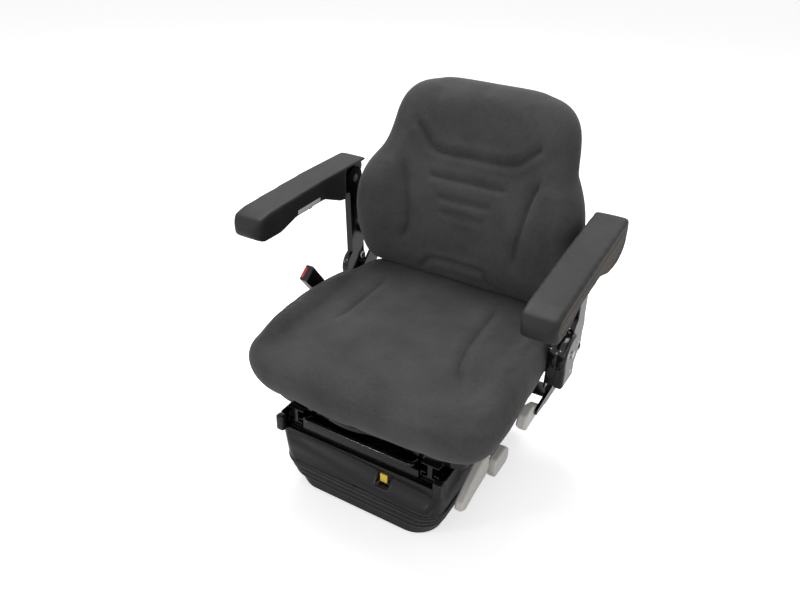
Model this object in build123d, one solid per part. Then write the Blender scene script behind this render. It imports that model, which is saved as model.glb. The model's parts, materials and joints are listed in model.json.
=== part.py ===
from build123d import *
import os
from math import asin, atan2, cos, degrees, hypot, radians, sin, tan

os.makedirs("parts", exist_ok=True)

# A tractor suspension seat. Millimetres, +Z up, the occupant faces -Y and +X is the lever side.
# The origin is the centre of the base's bolt pattern, on the floor plane.

# Suspension: a pair of crossed arms that carries the upper frame over the base
ARM_LENGTH = 325.0
ARM_RISE = 110.0
PIVOT_Y = 150.0
ARM_THICK = 5.0
ARM_WIDTH = 28.0
OUTER_ARM_X = 106.0
ARM_PAIR_GAP = 4.0
SHAFT_R = 8.0
RUNNING_FIT = 0.05
PIVOT_TUBE_R = 12.0
CENTRE_PIN_R = 5.0
CENTRE_PIN_PLAY = 2.0

# Rollers and the C-shaped tracks that they run in
ROLLER_R = 11.5
ROLLER_WIDTH = 18.0
ROLLER_PLAY = 1.5
AXLE_R = 6.0
TRACK_X = 112.0
TRACK_DEPTH = 26.0
TRACK_WALL = 3.0
TRACK_END_GAP = 1.7
TRACK_BACK = 17.0

# Base plate
BASE_SIDE_EDGE = 5.0
BASE_END_EDGE = 23.0
BASE_WINDOW_EDGE = 24.0
BASE_WINDOW_SHIFT = 8.0
BASE_CORNER_R = 50.0
PLATE = 3.0
BOLT_X = 200.0
BOLT_Y = 280.0
BOLT_HOLE_R = 4.5
BASE_WINDOW_X = 130.0
WINDOW_DROP = 28.0
WINDOW_RIM = 2.0
BASE_WINDOW_Y = 60.0

# Upper frame plate and its upturned front flange
FRAME_HALF_W = 172.0
FRAME_FRONT_REACH = 31.0
FRAME_REAR_REACH = 19.0
FRAME_WINDOW_X = 120.0
FRAME_WINDOW_Y = 56.0
FRAME_WINDOW_FRONT = 62.0
FRAME_WINDOW_REAR = 50.0
LEVER_LUG_IN = 14.0
LEVER_LUG_T = 8.0
LEVER_LUG_HALF = 13.0
FRAME_CORNER_R = 14.0
FLANGE_UP = 20.0
FLANGE_DOWN = 8.0

# Rubber bellows
FOLD_COUNT = 3
BELLOWS_SIDE_GAP = 14.0
BELLOWS_FRONT_GAP = 8.0
BELLOWS_REAR_GAP = 4.0
BELLOWS_CORNER_R = 52.0
BELLOWS_BOTTOM_Z = 3.5
BELLOWS_TOP_Z = 73.0
BELLOWS_WALL = 2.5
FOLD_DEPTH = 6.0
FLARE_SIDE = 19.0
FLARE_FRONT = 13.0
FLARE_CORNER = 14.0
BEAD = 7.0
BEAD_OUT = 4.0

# Cover above the bellows, with the square indicator window
COVER_RISE = 25.0
COVER_SIDE_GAP = 11.0
COVER_FRONT_GAP = 5.0
COVER_REAR_GAP = 12.0
COVER_LEAN = 9.0
COVER_NOTCH_GAP = 2.0
COVER_NOTCH_Y = 40.0
COVER_LUG_W = 24.0
COVER_LUG_DROP = 4.0
COVER_EAR_W = 18.0
COVER_EAR_OUT = 13.0
COVER_EAR_H = 30.0
COVER_EAR_R = 5.0
COVER_CORNER_R = 9.0
COVER_LOW_CORNER_R = 38.0
COVER_TAPER = 7.0
COVER_WALL = 2.8
WINDOW_X = 60.0
WINDOW_SIZE = 28.0
WINDOW_DEPTH = 9.0
INDICATOR_W = 15.0
INDICATOR_H = 18.0
INDICATOR_T = 3.0

# Air spring, compressor and damper inside the suspension
SPRING_Y = 28.0
SPRING_R = 50.0
SPRING_NECK_R = 38.0
COMPRESSOR_Y = -68.0
COMPRESSOR_R = 24.0
COMPRESSOR_X0 = -72.0
COMPRESSOR_LEN = 118.0
DAMPER_X = 76.0
DAMPER_LOW = (115.0, 34.0)
DAMPER_HIGH = (-85.0, 116.0)
DAMPER_R = 14.0
DAMPER_ROD_R = 5.0
DAMPER_BODY_LEN = 150.0
DAMPER_NECK = 19.0
DAMPER_NECK_R = 6.5
DAMPER_PIN_R = 4.0
DAMPER_EYE_R = 11.5
DAMPER_EYE_PLAY = 3.5
DAMPER_EYE_W = 16.0
DAMPER_EAR = 4.0

# Slide rails
RAIL_EDGE = 4.0
RAIL_FRONT_GAP = 4.0
RAIL_W = 38.0
RAIL_H = 20.0
RAIL_WALL = 2.5
RAIL_LEN = 370.0
RAIL_GAP = 16.0
RAIL_WEB = 10.0
RAIL_FOOT_W = 28.0
RAIL_FOOT_H = 7.0
RAIL_HEAD_Z = 40.0
RAIL_HEAD_W = 37.0
RAIL_CUT = 1.5
GLIDE_LEN = 60.0
GLIDE_FROM_END = 90.0
GLIDE_CLEAR = 0.3

# Front latch bar
BAR_REACH = 16.0
BAR_RISE = 38.0
BAR_ARM_RISE = 27.0
BAR_RAIL_GAP = 6.0
BAR_DROP = 10.0
BAR_R = 5.0
BAR_BEND_R = 12.0
BAR_PIVOT_Y = -60.0
BAR_EYE_R = 9.0
BAR_STUD_R = 4.0
HANGER_T = 4.0
HANGER_HALF = 12.0

# Seat pan and cushion
PAN_H = 38.5
PAN_WALL = 3.0
PAN_INSET = 57.0
CUSHION_CLEAR = 0.3
CUSHION_THICK = 94.0
CUSHION_TILT = 2.0
CUSHION_FRONT_Y = -246.0
CUSHION_REAR_Y = 236.0
CUSHION_HALF_W = 262.0
CUSHION_WAIST = 0.955
CUSHION_SIDE_GAP = 1.8
BOLSTER_X = 226.0
BOLSTER_Y = -25.0
BOLSTER_W = 30.0
BOLSTER_LEN = 170.0
BOLSTER_H = 26.0
BOLSTER_DROP = 7.0

# Recline axis and its plates
RECLINE_INSET = 36.0
RECLINE_RISE = 71.0
PLATE_FRONT = 110.0
PLATE_REAR = 34.0
PLATE_SHOULDER = 14.0
PLATE_NOSE = 60.0
RECLINE_PIN_R = 11.0
SIDE_PLATE = 5.0
SIDE_GAP = 1.0
CROSS_BAR_H = 10.0
CROSS_BAR_W = 34.0

# Backrest
BACK_GAP = 10.2
BACK_HEIGHT = 398.0
BACK_HALF_W = 246.0
BACK_DEPTH = 119.0
BACK_SETBACK = 64.0
BACK_TILT = 10.5
BACK_CLEAR = 0.5
BACK_SHELL = 32.0
BACK_SHELL_WALL = 3.0
BACK_TUBE_R = 11.0
BACK_TUBE_X = 150.0
BACK_TUBE_TOP = 330.0
BACK_TUBE_BEND = 30.0
BACK_STRAP_W = 30.0
BACK_STRAP_T = 8.0
BACK_STRAP_LOW = 96.0
BACK_STRAP_HIGH = 240.0
SHELL_FOOT = 64.0
SHELL_TAPER = 24.0

# Armrests
ARM_PIVOT_RISE = 253.0
ARM_PIVOT_BACK = 15.0
ARM_PAD_W = 66.0
ARM_FRONT = 330.0
ARM_REAR = 60.0
ARM_TOP = 34.0
ARM_PAD_H = 26.0
LEFT_ARM_TILT = 1.5
RIGHT_ARM_TILT = 5.5
ARM_HEAD_R = 25.0
ARM_EDGE = 9.0
SUPPORT_T = 16.0
SUPPORT_W = 46.0
SUPPORT_BULGE_R = 37.0
SUPPORT_BULGE_UP = 44.0
SUPPORT_BULGE_FRONT = 12.0
SUPPORT_EDGE = 3.0
HOOK_R = 7.0
HOOK_WIRE = 1.8
HOOK_Y = 208.0
HOOK_RISE = 57.0
ARM_PIN_R = 8.0
DIAL_R = 15.0
DIAL_T = 11.0
DIAL_Y = -140.0
DIAL_TOP_Z = -10.2
DIAL_PIN_R = 5.0
DIAL_PIN_LEN = 15.0
DIAL_FLUTES = 16

# Levers on the +X side
WEIGHT_LEVER_DROP = 20.0
HEIGHT_LEVER_DROP = 17.0
RECLINE_LEVER_RISE = 23.0
GRIP_T = 18.0
LEVER_SHAFT_R = 7.0
WEIGHT_LEVER_Y = -70.0
HEIGHT_LEVER_Y = -18.0
RECLINE_LEVER_Y = 118.0

# Belt
RETRACTOR_RISE = 56.0
STALK_RISE = 31.0
RETRACTOR_W = 34.0
RETRACTOR_Y = 84.0
RETRACTOR_R = 40.0
RETRACTOR_BLOCK = 62.0
RETRACTOR_EDGE = 6.0
RETRACTOR_SEAM = 0.3
SPINDLE_R = 5.0
BRACKET_T = 4.0
WEBBING_W = 48.0
WEBBING_T = 1.4
WEBBING_OUT = 30.0
STALK_Y = 118.0
STALK_LEN = 112.0
STALK_LEAN = 38.0
STALK_PIN_R = 6.0
BUCKLE_LEN = 58.0
BUCKLE_W = 36.0
BUCKLE_T = 20.0
BUCKLE_EDGE = 4.0
BUTTON_W = 25.0
BUTTON_LEN = 28.0
BUTTON_DEEP = 7.0
BUTTON_TRAVEL = 3.0

# Heights and places that follow from the values above
track_height = 2 * (ROLLER_R + ROLLER_PLAY) + 2 * TRACK_WALL
low_pivot_z = PLATE + track_height / 2
high_pivot_z = low_pivot_z + ARM_RISE
plate_z = high_pivot_z + track_height / 2
arm_angle = degrees(asin(ARM_RISE / ARM_LENGTH))
roller_y = PIVOT_Y - ARM_LENGTH * cos(radians(arm_angle))
inner_arm_x = OUTER_ARM_X - ARM_THICK - ARM_PAIR_GAP
track_front_y = roller_y - ROLLER_R - TRACK_END_GAP
track_rear_y = PIVOT_Y + TRACK_BACK
base_half_w = TRACK_X + TRACK_DEPTH + BASE_SIDE_EDGE
base_half_d = BASE_END_EDGE - track_front_y
bellows_half_w = base_half_w + BELLOWS_SIDE_GAP
bellows_front_y = -base_half_d - BELLOWS_FRONT_GAP
bellows_rear_y = base_half_d + BELLOWS_REAR_GAP
frame_front_y = track_front_y - FRAME_FRONT_REACH
frame_rear_y = track_rear_y + FRAME_REAR_REACH
cover_half_w = FRAME_HALF_W + COVER_SIDE_GAP
cover_front_y = frame_front_y - COVER_FRONT_GAP
cover_rear_y = frame_rear_y + COVER_REAR_GAP
cover_top_z = plate_z + COVER_RISE
cover_notch_half_w = FRAME_HALF_W - COVER_NOTCH_GAP
window_z = plate_z - WINDOW_DROP
weight_lever_z = plate_z - WEIGHT_LEVER_DROP
height_lever_z = plate_z - HEIGHT_LEVER_DROP
rail_z = plate_z + PLATE
rail_x = FRAME_HALF_W - RAIL_EDGE - RAIL_W / 2
rail_front_y = frame_front_y + RAIL_FRONT_GAP
bar_y = rail_front_y - BAR_REACH
bar_drop_y = rail_front_y + BAR_DROP
bar_z = rail_z + BAR_RISE
bar_arm_z = rail_z + BAR_ARM_RISE
bar_half_w = rail_x - RAIL_W / 2 - BAR_R - BAR_RAIL_GAP
pan_z = rail_z + RAIL_HEAD_Z + PLATE
cushion_z = pan_z + PAN_H + CUSHION_CLEAR
recline_y = CUSHION_REAR_Y - RECLINE_INSET
recline_z = pan_z + RECLINE_RISE
side_plate_x = CUSHION_WAIST * CUSHION_HALF_W + CUSHION_SIDE_GAP
side_out_x = side_plate_x + SIDE_PLATE
support_x = side_out_x + SIDE_GAP
back_arm_x = side_plate_x - SIDE_GAP - SIDE_PLATE
back_bottom_z = cushion_z + CUSHION_THICK + BACK_GAP
back_rear_y = recline_y + BACK_SETBACK
arm_pivot_y = recline_y - ARM_PIVOT_BACK
arm_pivot_z = recline_z + ARM_PIVOT_RISE
arm_inner_x = side_out_x
recline_lever_z = pan_z + RECLINE_LEVER_RISE
retractor_z = recline_z + RETRACTOR_RISE
stalk_z = pan_z + STALK_RISE


def box(x0, x1, y0, y1, z0, z1):
    """A box between two corners."""
    return Pos((x0 + x1) / 2, (y0 + y1) / 2, (z0 + z1) / 2) * Box(x1 - x0, y1 - y0, z1 - z0)


def rod_x(radius, x0, x1, y, z):
    """A round bar along X."""
    return Pos((x0 + x1) / 2, y, z) * Rot(0, 90, 0) * Cylinder(radius, x1 - x0)


def rod_z(radius, x, y, z0, z1):
    """A round bar along Z."""
    return Pos(x, y, (z0 + z1) / 2) * Cylinder(radius, z1 - z0)


def both_sides(shape):
    """The shape and its mirror image across the seat's middle plane."""
    return shape + mirror(shape, Plane.YZ)


def side_profile(points, x0, x1):
    """A YZ polygon extruded along X."""
    face = make_face(Plane.YZ * Polyline(*points, close=True))
    return Pos(x0, 0, 0) * extrude(face, amount=x1 - x0, dir=(1, 0, 0))


def round_ring_path(half_w, y_front, y_rear, radius):
    """The wire of a rounded rectangle in the XY plane."""
    centre = (0, (y_front + y_rear) / 2)
    outline = RectangleRounded(2 * half_w, y_rear - y_front, radius)
    return Pos(*centre) * outline


def export(shape, node):
    """Write one node."""
    export_step(shape, "parts/" + node + ".step")


# Base

def c_track(z_low, y0, y1):
    """The two C-shaped roller tracks, open towards the middle."""
    x1 = TRACK_X + TRACK_DEPTH
    outer = box(TRACK_X, x1, y0, y1, z_low, z_low + track_height)
    inner = box(TRACK_X - 1, x1 - TRACK_WALL, y0 - 1, y1 + 1, z_low + TRACK_WALL,
                z_low + track_height - TRACK_WALL)
    return both_sides(outer - inner)


def shaft_bores(z):
    """The two bores that hold a pivot shaft."""
    x1 = TRACK_X + TRACK_DEPTH
    return both_sides(rod_x(SHAFT_R, x1 - TRACK_WALL - 1, x1 + 1, PIVOT_Y, z))


def base_frame():
    plate = extrude(round_ring_path(base_half_w, -base_half_d, base_half_d, BASE_CORNER_R), amount=PLATE)
    window = box(-BASE_WINDOW_X / 2, BASE_WINDOW_X / 2, -BASE_WINDOW_Y / 2, BASE_WINDOW_Y / 2, -1, PLATE + 1)
    for y in (-1, 1):
        plate -= Pos(-BASE_WINDOW_SHIFT, y * (base_half_d - BASE_WINDOW_Y / 2 - BASE_WINDOW_EDGE), 0) * window
    for x in (-1, 1):
        for y in (-1, 1):
            plate -= rod_z(BOLT_HOLE_R, x * BOLT_X / 2, y * BOLT_Y / 2, -1, PLATE + 1)
    y, z = DAMPER_LOW
    return plate + damper_clevis(y, PLATE, z, z + DAMPER_EYE_R - 2)


def roller_tracks(z_low, shaft_z):
    """A pair of tracks with the bores for their pivot shaft."""
    return c_track(z_low, track_front_y, track_rear_y) - shaft_bores(shaft_z)


def damper_clevis(y, z0, pin_z, z1):
    """Two ears that hold a damper pin, between two heights."""
    x0 = DAMPER_X - DAMPER_EYE_W / 2 - 0.5
    x1 = DAMPER_X + DAMPER_EYE_W / 2 + 0.5
    half = DAMPER_EYE_R - 1
    ears = box(x0 - DAMPER_EAR, x0, y - half, y + half, z0, z1)
    ears += box(x1, x1 + DAMPER_EAR, y - half, y + half, z0, z1)
    return ears - rod_x(DAMPER_PIN_R, x0 - DAMPER_EAR - 1, x1 + DAMPER_EAR + 1, y, pin_z)


def damper_pin(y, z):
    """A headed pin across a damper clevis."""
    reach = DAMPER_EYE_W / 2 + 0.5 + DAMPER_EAR
    pin = rod_x(DAMPER_PIN_R, DAMPER_X - reach - 2, DAMPER_X + reach, y, z)
    return pin + rod_x(DAMPER_PIN_R + 2.5, DAMPER_X + reach, DAMPER_X + reach + 3, y, z)


def pivot_shaft(z):
    """The steel shaft through both tracks, with a collar at each end."""
    x1 = TRACK_X + TRACK_DEPTH
    shaft = rod_x(SHAFT_R, -x1 - 3, x1 + 3, PIVOT_Y, z)
    return shaft + both_sides(rod_x(SHAFT_R + 2.5, x1, x1 + 3, PIVOT_Y, z))


# Crossed arms

def arm_plate(x_mid, y0, z0, y1, z1):
    """A flat arm with rounded ends between two axes."""
    length = hypot(y1 - y0, z1 - z0)
    angle = degrees(atan2(z1 - z0, y1 - y0))
    face = SlotCenterToCenter(length, ARM_WIDTH)
    slab = Pos(x_mid - ARM_THICK / 2, 0, 0) * extrude(Plane.YZ * face, amount=ARM_THICK, dir=(1, 0, 0))
    return Pos(0, (y0 + y1) / 2, (z0 + z1) / 2) * Rot(angle, 0, 0) * slab


def scissor_arms(x_mid, hinge_z, roller_z, has_pin):
    """Two arm plates welded to a pivot tube and a roller axle tube."""
    arms = both_sides(arm_plate(x_mid, PIVOT_Y, hinge_z, roller_y, roller_z))
    reach = x_mid + ARM_THICK / 2
    arms += rod_x(PIVOT_TUBE_R, -reach, reach, PIVOT_Y, hinge_z)
    arms += rod_x(AXLE_R, -reach, reach, roller_y, roller_z)
    arms -= rod_x(SHAFT_R + RUNNING_FIT, -reach - 1, reach + 1, PIVOT_Y, hinge_z)
    stub_end = TRACK_X + 2 + ROLLER_WIDTH
    arms += both_sides(rod_x(AXLE_R, reach - 1, stub_end, roller_y, roller_z))
    mid_y = (PIVOT_Y + roller_y) / 2
    mid_z = (hinge_z + roller_z) / 2
    if has_pin:
        arms += both_sides(rod_x(CENTRE_PIN_R, inner_arm_x - ARM_THICK / 2 - 2, reach, mid_y, mid_z))
    else:
        arms -= rod_x(CENTRE_PIN_R + CENTRE_PIN_PLAY, -reach - 1, reach + 1, mid_y, mid_z)
    return arms


def roller_pair(z):
    """Two rollers on one axis."""
    x0 = TRACK_X + 2
    roller = rod_x(ROLLER_R, x0, x0 + ROLLER_WIDTH, roller_y, z)
    roller -= rod_x(AXLE_R + RUNNING_FIT, x0 - 1, x0 + ROLLER_WIDTH + 1, roller_y, z)
    return Compound(children=[roller, mirror(roller, Plane.YZ)])


# Damper

def damper_axis():
    """Length and tilt of the damper, from its low to its high pin."""
    dy = DAMPER_HIGH[0] - DAMPER_LOW[0]
    dz = DAMPER_HIGH[1] - DAMPER_LOW[1]
    return hypot(dy, dz), degrees(atan2(dz, dy))


def along_damper(shape):
    """Move a shape made along +Y from the origin onto the damper's axis."""
    angle = damper_axis()[1]
    return Pos(DAMPER_X, DAMPER_LOW[0], DAMPER_LOW[1]) * Rot(angle, 0, 0) * shape


def damper_eye(bore_r, y):
    eye = rod_x(DAMPER_EYE_R, -DAMPER_EYE_W / 2, DAMPER_EYE_W / 2, y, 0)
    return eye - rod_x(bore_r, -DAMPER_EYE_W, DAMPER_EYE_W, y, 0)


def rod_y(radius, y0, y1):
    return Pos(0, (y0 + y1) / 2, 0) * Rot(90, 0, 0) * Cylinder(radius, y1 - y0)


def damper_tube():
    body = rod_y(DAMPER_R, DAMPER_NECK, DAMPER_BODY_LEN)
    body += rod_y(DAMPER_NECK_R, DAMPER_EYE_R - 2, DAMPER_NECK)
    body += rod_x(DAMPER_EYE_R, -DAMPER_EYE_W / 2, DAMPER_EYE_W / 2, 0, 0)
    body -= rod_x(DAMPER_PIN_R + RUNNING_FIT, -DAMPER_EYE_W, DAMPER_EYE_W, 0, 0)
    body -= rod_y(DAMPER_ROD_R + RUNNING_FIT, DAMPER_NECK + 6, DAMPER_BODY_LEN + 1)
    return along_damper(body)


def damper_rod():
    length = damper_axis()[0]
    rod = rod_y(DAMPER_ROD_R, DAMPER_NECK + 16, length - DAMPER_EYE_R + 2)
    rod += damper_eye(DAMPER_PIN_R + DAMPER_EYE_PLAY, length)
    return along_damper(rod)


# Upper frame

def upper_frame():
    outline = round_ring_path(FRAME_HALF_W, frame_front_y, frame_rear_y, FRAME_CORNER_R)
    plate = Pos(0, 0, plate_z) * extrude(outline, amount=PLATE)
    half_x, half_y = FRAME_WINDOW_X / 2, FRAME_WINDOW_Y / 2
    for y in (frame_front_y + FRAME_WINDOW_FRONT, frame_rear_y - FRAME_WINDOW_REAR):
        plate -= box(-half_x, half_x, y - half_y, y + half_y, plate_z - 1, plate_z + PLATE + 1)
    inner = round_ring_path(FRAME_HALF_W - PLATE, frame_front_y + PLATE, frame_rear_y - PLATE,
                            FRAME_CORNER_R - PLATE)
    wall = extrude(outline, amount=FLANGE_UP + FLANGE_DOWN + PLATE)
    wall -= extrude(inner, amount=FLANGE_UP + FLANGE_DOWN + PLATE)
    for side in (-1, 1):
        half = RAIL_W / 2 + RAIL_CUT
        wall -= box(side * rail_x - half, side * rail_x + half, frame_front_y - 5, frame_rear_y + 5,
                    FLANGE_DOWN + PLATE, FLANGE_UP + FLANGE_DOWN + PLATE + 1)
    frame = plate + Pos(0, 0, plate_z - FLANGE_DOWN) * wall
    y, z = DAMPER_HIGH
    frame += damper_clevis(y, z - DAMPER_EYE_R + 2, z, plate_z)
    for y, z in ((WEIGHT_LEVER_Y, weight_lever_z), (HEIGHT_LEVER_Y, height_lever_z)):
        frame += lever_bearing(y, z)
    return frame


def lever_bearing(y, z):
    """A lug under the frame plate that holds one lever's shaft."""
    x0 = FRAME_HALF_W - LEVER_LUG_IN
    x1 = x0 + LEVER_LUG_T
    lug = box(x0, x1, y - LEVER_LUG_HALF, y + LEVER_LUG_HALF, z - LEVER_LUG_HALF, plate_z)
    return lug - rod_x(LEVER_SHAFT_R + RUNNING_FIT, x0 - 1, x1 + 1, y, z)


def cover_share(z):
    """How far up the cover's side wall a height is, from 0 at its foot to 1 at its top."""
    return (z - BELLOWS_TOP_Z) / (cover_top_z - BELLOWS_TOP_Z)


def cover_side_x(z):
    """Half width of the cover at a height."""
    return cover_half_w - COVER_TAPER * (1 - cover_share(z))


def cover_face_y(z):
    """The cover's front face at a height; it leans back towards the top."""
    return cover_front_y - COVER_LEAN * (1 - cover_share(z))


def cover_ring(z, inset):
    """The cover's plan at a height, moved inwards by an inset."""
    rear = cover_rear_y - COVER_TAPER * (1 - cover_share(z))
    radius = COVER_LOW_CORNER_R + (COVER_CORNER_R - COVER_LOW_CORNER_R) * cover_share(z)
    half_w = cover_side_x(z) - inset
    return Pos(0, 0, z) * round_ring_path(half_w, cover_face_y(z) + inset, rear - inset, radius - inset)


def cover_ear():
    """A rounded corner post at one end of the cover's front lip."""
    x = cover_half_w - COVER_EAR_W / 2
    y0 = cover_front_y - COVER_EAR_OUT
    y1 = frame_front_y - COVER_WALL
    post = extrude(RectangleRounded(COVER_EAR_W, y1 - y0, COVER_EAR_R), amount=COVER_EAR_H)
    return Pos(x, (y0 + y1) / 2, cover_top_z - COVER_EAR_H) * post


def suspension_cover():
    z0 = BELLOWS_TOP_Z + CUSHION_CLEAR
    outer = loft([cover_ring(z0, 0), cover_ring(cover_top_z, 0)], ruled=True)
    cover = outer - loft([cover_ring(z0, COVER_WALL), cover_ring(cover_top_z, COVER_WALL)], ruled=True)
    for y in (cover_front_y, cover_rear_y):
        cover -= box(-cover_notch_half_w, cover_notch_half_w, y - COVER_NOTCH_Y, y + COVER_NOTCH_Y, plate_z,
                     cover_top_z + 1)
    cover += both_sides(cover_ear())
    half = WINDOW_SIZE / 2
    rim = half + WINDOW_RIM
    face = cover_face_y(window_z)
    cover += box(WINDOW_X - rim, WINDOW_X + rim, face + COVER_WALL - 0.5, face + WINDOW_DEPTH + WINDOW_RIM,
                 window_z - rim, window_z + rim)
    for y in (cover_front_y + 60, cover_rear_y - 70):
        cover += both_sides(box(FRAME_HALF_W, cover_side_x(plate_z) - 1, y - COVER_LUG_W / 2, y + COVER_LUG_W / 2,
                                plate_z, cover_top_z - COVER_LUG_DROP))
    cover -= box(WINDOW_X - half, WINDOW_X + half, face - 5, face + WINDOW_DEPTH, window_z - half, window_z + half)
    for y, z in ((WEIGHT_LEVER_Y, weight_lever_z), (HEIGHT_LEVER_Y, height_lever_z)):
        cover -= rod_x(LEVER_SHAFT_R + 4, cover_half_w - 20, cover_half_w + 5, y, z)
    return cover


def height_indicator():
    """The yellow flag that slides behind the window."""
    y0 = cover_face_y(window_z) + WINDOW_DEPTH - GLIDE_CLEAR - INDICATOR_T
    return box(WINDOW_X - 2 - INDICATOR_W / 2, WINDOW_X - 2 + INDICATOR_W / 2, y0, y0 + INDICATOR_T,
               window_z - INDICATOR_H / 2, window_z + INDICATOR_H / 2)


def bellows_ring(share, z, throw):
    """The bellows' plan at a height, flared by a share of the full flare and thrown outwards."""
    side = bellows_half_w + FLARE_SIDE * share + throw
    front = bellows_front_y - FLARE_FRONT * share - throw
    rear = bellows_rear_y + FLARE_FRONT * share + throw
    radius = BELLOWS_CORNER_R - FLARE_CORNER * share + throw
    return Pos(0, 0, z) * round_ring_path(side, front, rear, radius)


def bellows_wall(inset):
    """The bellows' full form, its folds stacked from the bottom bead to the top one."""
    height = BELLOWS_TOP_Z - BEAD - BELLOWS_BOTTOM_Z
    steps = 2 * FOLD_COUNT
    rings = []
    for i in range(steps + 1):
        throw = FOLD_DEPTH if i % 2 else 0.0
        rings.append(bellows_ring(i / steps, BELLOWS_BOTTOM_Z + height * i / steps, throw - inset))
    return loft(rings, ruled=True)


def bellows():
    """A folded rubber wall, thrown out at each fold and flared towards its top bead."""
    bead = extrude(bellows_ring(1, BELLOWS_TOP_Z - BEAD, BEAD_OUT), amount=BEAD)
    hollow = extrude(bellows_ring(1, BELLOWS_TOP_Z - BEAD, -BELLOWS_WALL), amount=BEAD)
    return bellows_wall(0) + bead - bellows_wall(BELLOWS_WALL) - hollow


def air_spring():
    """A rolling-lobe bag between its foot on the base and its lid under the frame."""
    z0, z1 = PLATE, plate_z
    points = [(0, z0), (SPRING_NECK_R, z0), (SPRING_NECK_R, z0 + 30), (SPRING_R - 4, z0 + 36),
              (SPRING_R, z0 + 52), (SPRING_R, z1 - 26), (SPRING_R - 6, z1 - 8), (SPRING_R - 12, z1 - 4),
              (SPRING_R - 12, z1), (0, z1)]
    face = make_face(Plane.XZ * Polyline(*points, close=True))
    return Pos(0, SPRING_Y, 0) * revolve(face, Axis.Z, 360)


def compressor():
    z = PLATE + COMPRESSOR_R
    x0 = COMPRESSOR_X0
    motor = rod_x(COMPRESSOR_R, x0, x0 + COMPRESSOR_LEN * 0.62, COMPRESSOR_Y, z)
    head = box(x0 + COMPRESSOR_LEN * 0.62, x0 + COMPRESSOR_LEN, COMPRESSOR_Y - 20, COMPRESSOR_Y + 20, PLATE, z + 22)
    feet = box(x0 + 8, x0 + 60, COMPRESSOR_Y - 18, COMPRESSOR_Y + 18, PLATE, z - 8)
    return motor + head + feet


# Slide rails

def rail_section(points, y0, length):
    """An XZ outline, symmetrical about the rail's middle, drawn out along Y."""
    face = make_face(Plane.XZ * Polyline(*points, close=True))
    return Pos(0, y0 + length, 0) * extrude(face, amount=length)


def lower_rail(side):
    h, w, t, g = RAIL_H, RAIL_W / 2, RAIL_WALL, RAIL_GAP / 2
    half = [(w, 0), (w, h), (g, h), (g, h - t), (w - t, h - t), (w - t, t)]
    points = half + [(-x, z) for x, z in half[::-1]]
    return Pos(side * rail_x, 0, rail_z) * rail_section(points, rail_front_y, RAIL_LEN)


def upper_rail(side):
    foot_z = RAIL_WALL + 2.0
    w, f = RAIL_WEB / 2, RAIL_FOOT_W / 2
    head = RAIL_HEAD_W / 2
    half = [(f, foot_z), (f, foot_z + RAIL_FOOT_H), (w, foot_z + RAIL_FOOT_H), (w, RAIL_HEAD_Z - PLATE),
            (head, RAIL_HEAD_Z - PLATE), (head, RAIL_HEAD_Z)]
    points = half + [(-x, z) for x, z in half[::-1]]
    return Pos(side * rail_x, 0, rail_z) * rail_section(points, rail_front_y, RAIL_LEN)


def rail_glides():
    """Plastic shoes under and beside the upper rails' feet."""
    shoes = []
    z0 = rail_z + RAIL_WALL
    for side in (-1, 1):
        for y in (rail_front_y + GLIDE_FROM_END, rail_front_y + RAIL_LEN - GLIDE_FROM_END - GLIDE_LEN):
            half = RAIL_W / 2 - RAIL_WALL - GLIDE_CLEAR
            shoe = box(-half, half, y, y + GLIDE_LEN, z0 + GLIDE_CLEAR, z0 + 2 + RAIL_FOOT_H)
            shoe -= box(-RAIL_FOOT_W / 2, RAIL_FOOT_W / 2, y - 1, y + GLIDE_LEN + 1, z0 + 2, z0 + 20)
            shoes.append(Pos(side * rail_x, 0, 0) * shoe)
    return Compound(children=shoes)


def latch_bar():
    """The round bar across the front, bent back to its pivots beside the rails."""
    half = [(bar_half_w, bar_y, bar_z), (bar_half_w, bar_drop_y, bar_arm_z), (bar_half_w, BAR_PIVOT_Y, bar_arm_z)]
    points = [(-x, y, z) for x, y, z in half[::-1]] + half
    path = FilletPolyline(*points, radius=BAR_BEND_R)
    section = Plane(origin=path @ 0, z_dir=path % 0) * Circle(BAR_R)
    bar = sweep(section, path=path)
    bar += both_sides(rod_x(BAR_EYE_R, bar_half_w - BAR_R, bar_half_w + BAR_R, BAR_PIVOT_Y, bar_arm_z))
    stud = BAR_STUD_R + RUNNING_FIT
    return bar - both_sides(rod_x(stud, bar_half_w - BAR_R - 1, bar_half_w + BAR_R + 1, BAR_PIVOT_Y, bar_arm_z))


# Seat pan and cushion

def moved_in(points, inset):
    """The points of a closed outline, each moved inwards by an inset."""
    moved = []
    count = len(points)
    for i in range(count):
        ax, ay = points[i - 1]
        bx, by = points[(i + 1) % count]
        length = hypot(bx - ax, by - ay)
        moved.append((points[i][0] - inset * (by - ay) / length, points[i][1] + inset * (bx - ax) / length))
    return moved


def seat_face(inset, rear_inset=None):
    """The seat's rounded plan, moved inwards by an inset that may be smaller at the rear."""
    w, f, r = CUSHION_HALF_W, CUSHION_FRONT_Y, CUSHION_REAR_Y
    length = r - f
    half = [(0, f), (0.45 * w, f + 0.004 * length), (0.8 * w, f + 0.025 * length), (0.955 * w, f + 0.085 * length),
            (w, f + 0.21 * length), (0.99 * w, f + 0.4 * length), (CUSHION_WAIST * w, r - 0.32 * length),
            (0.91 * w, r - 0.16 * length), (0.84 * w, r - 0.06 * length), (0.69 * w, r - 0.01 * length), (0, r)]
    points = moved_in(half + [(-x, y) for x, y in half[-2:0:-1]], inset)
    if rear_inset is not None:
        points = [(x, y + (inset - rear_inset) * max(0, y) / r) for x, y in points]
    return make_face(Spline(*points, periodic=True))


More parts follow.
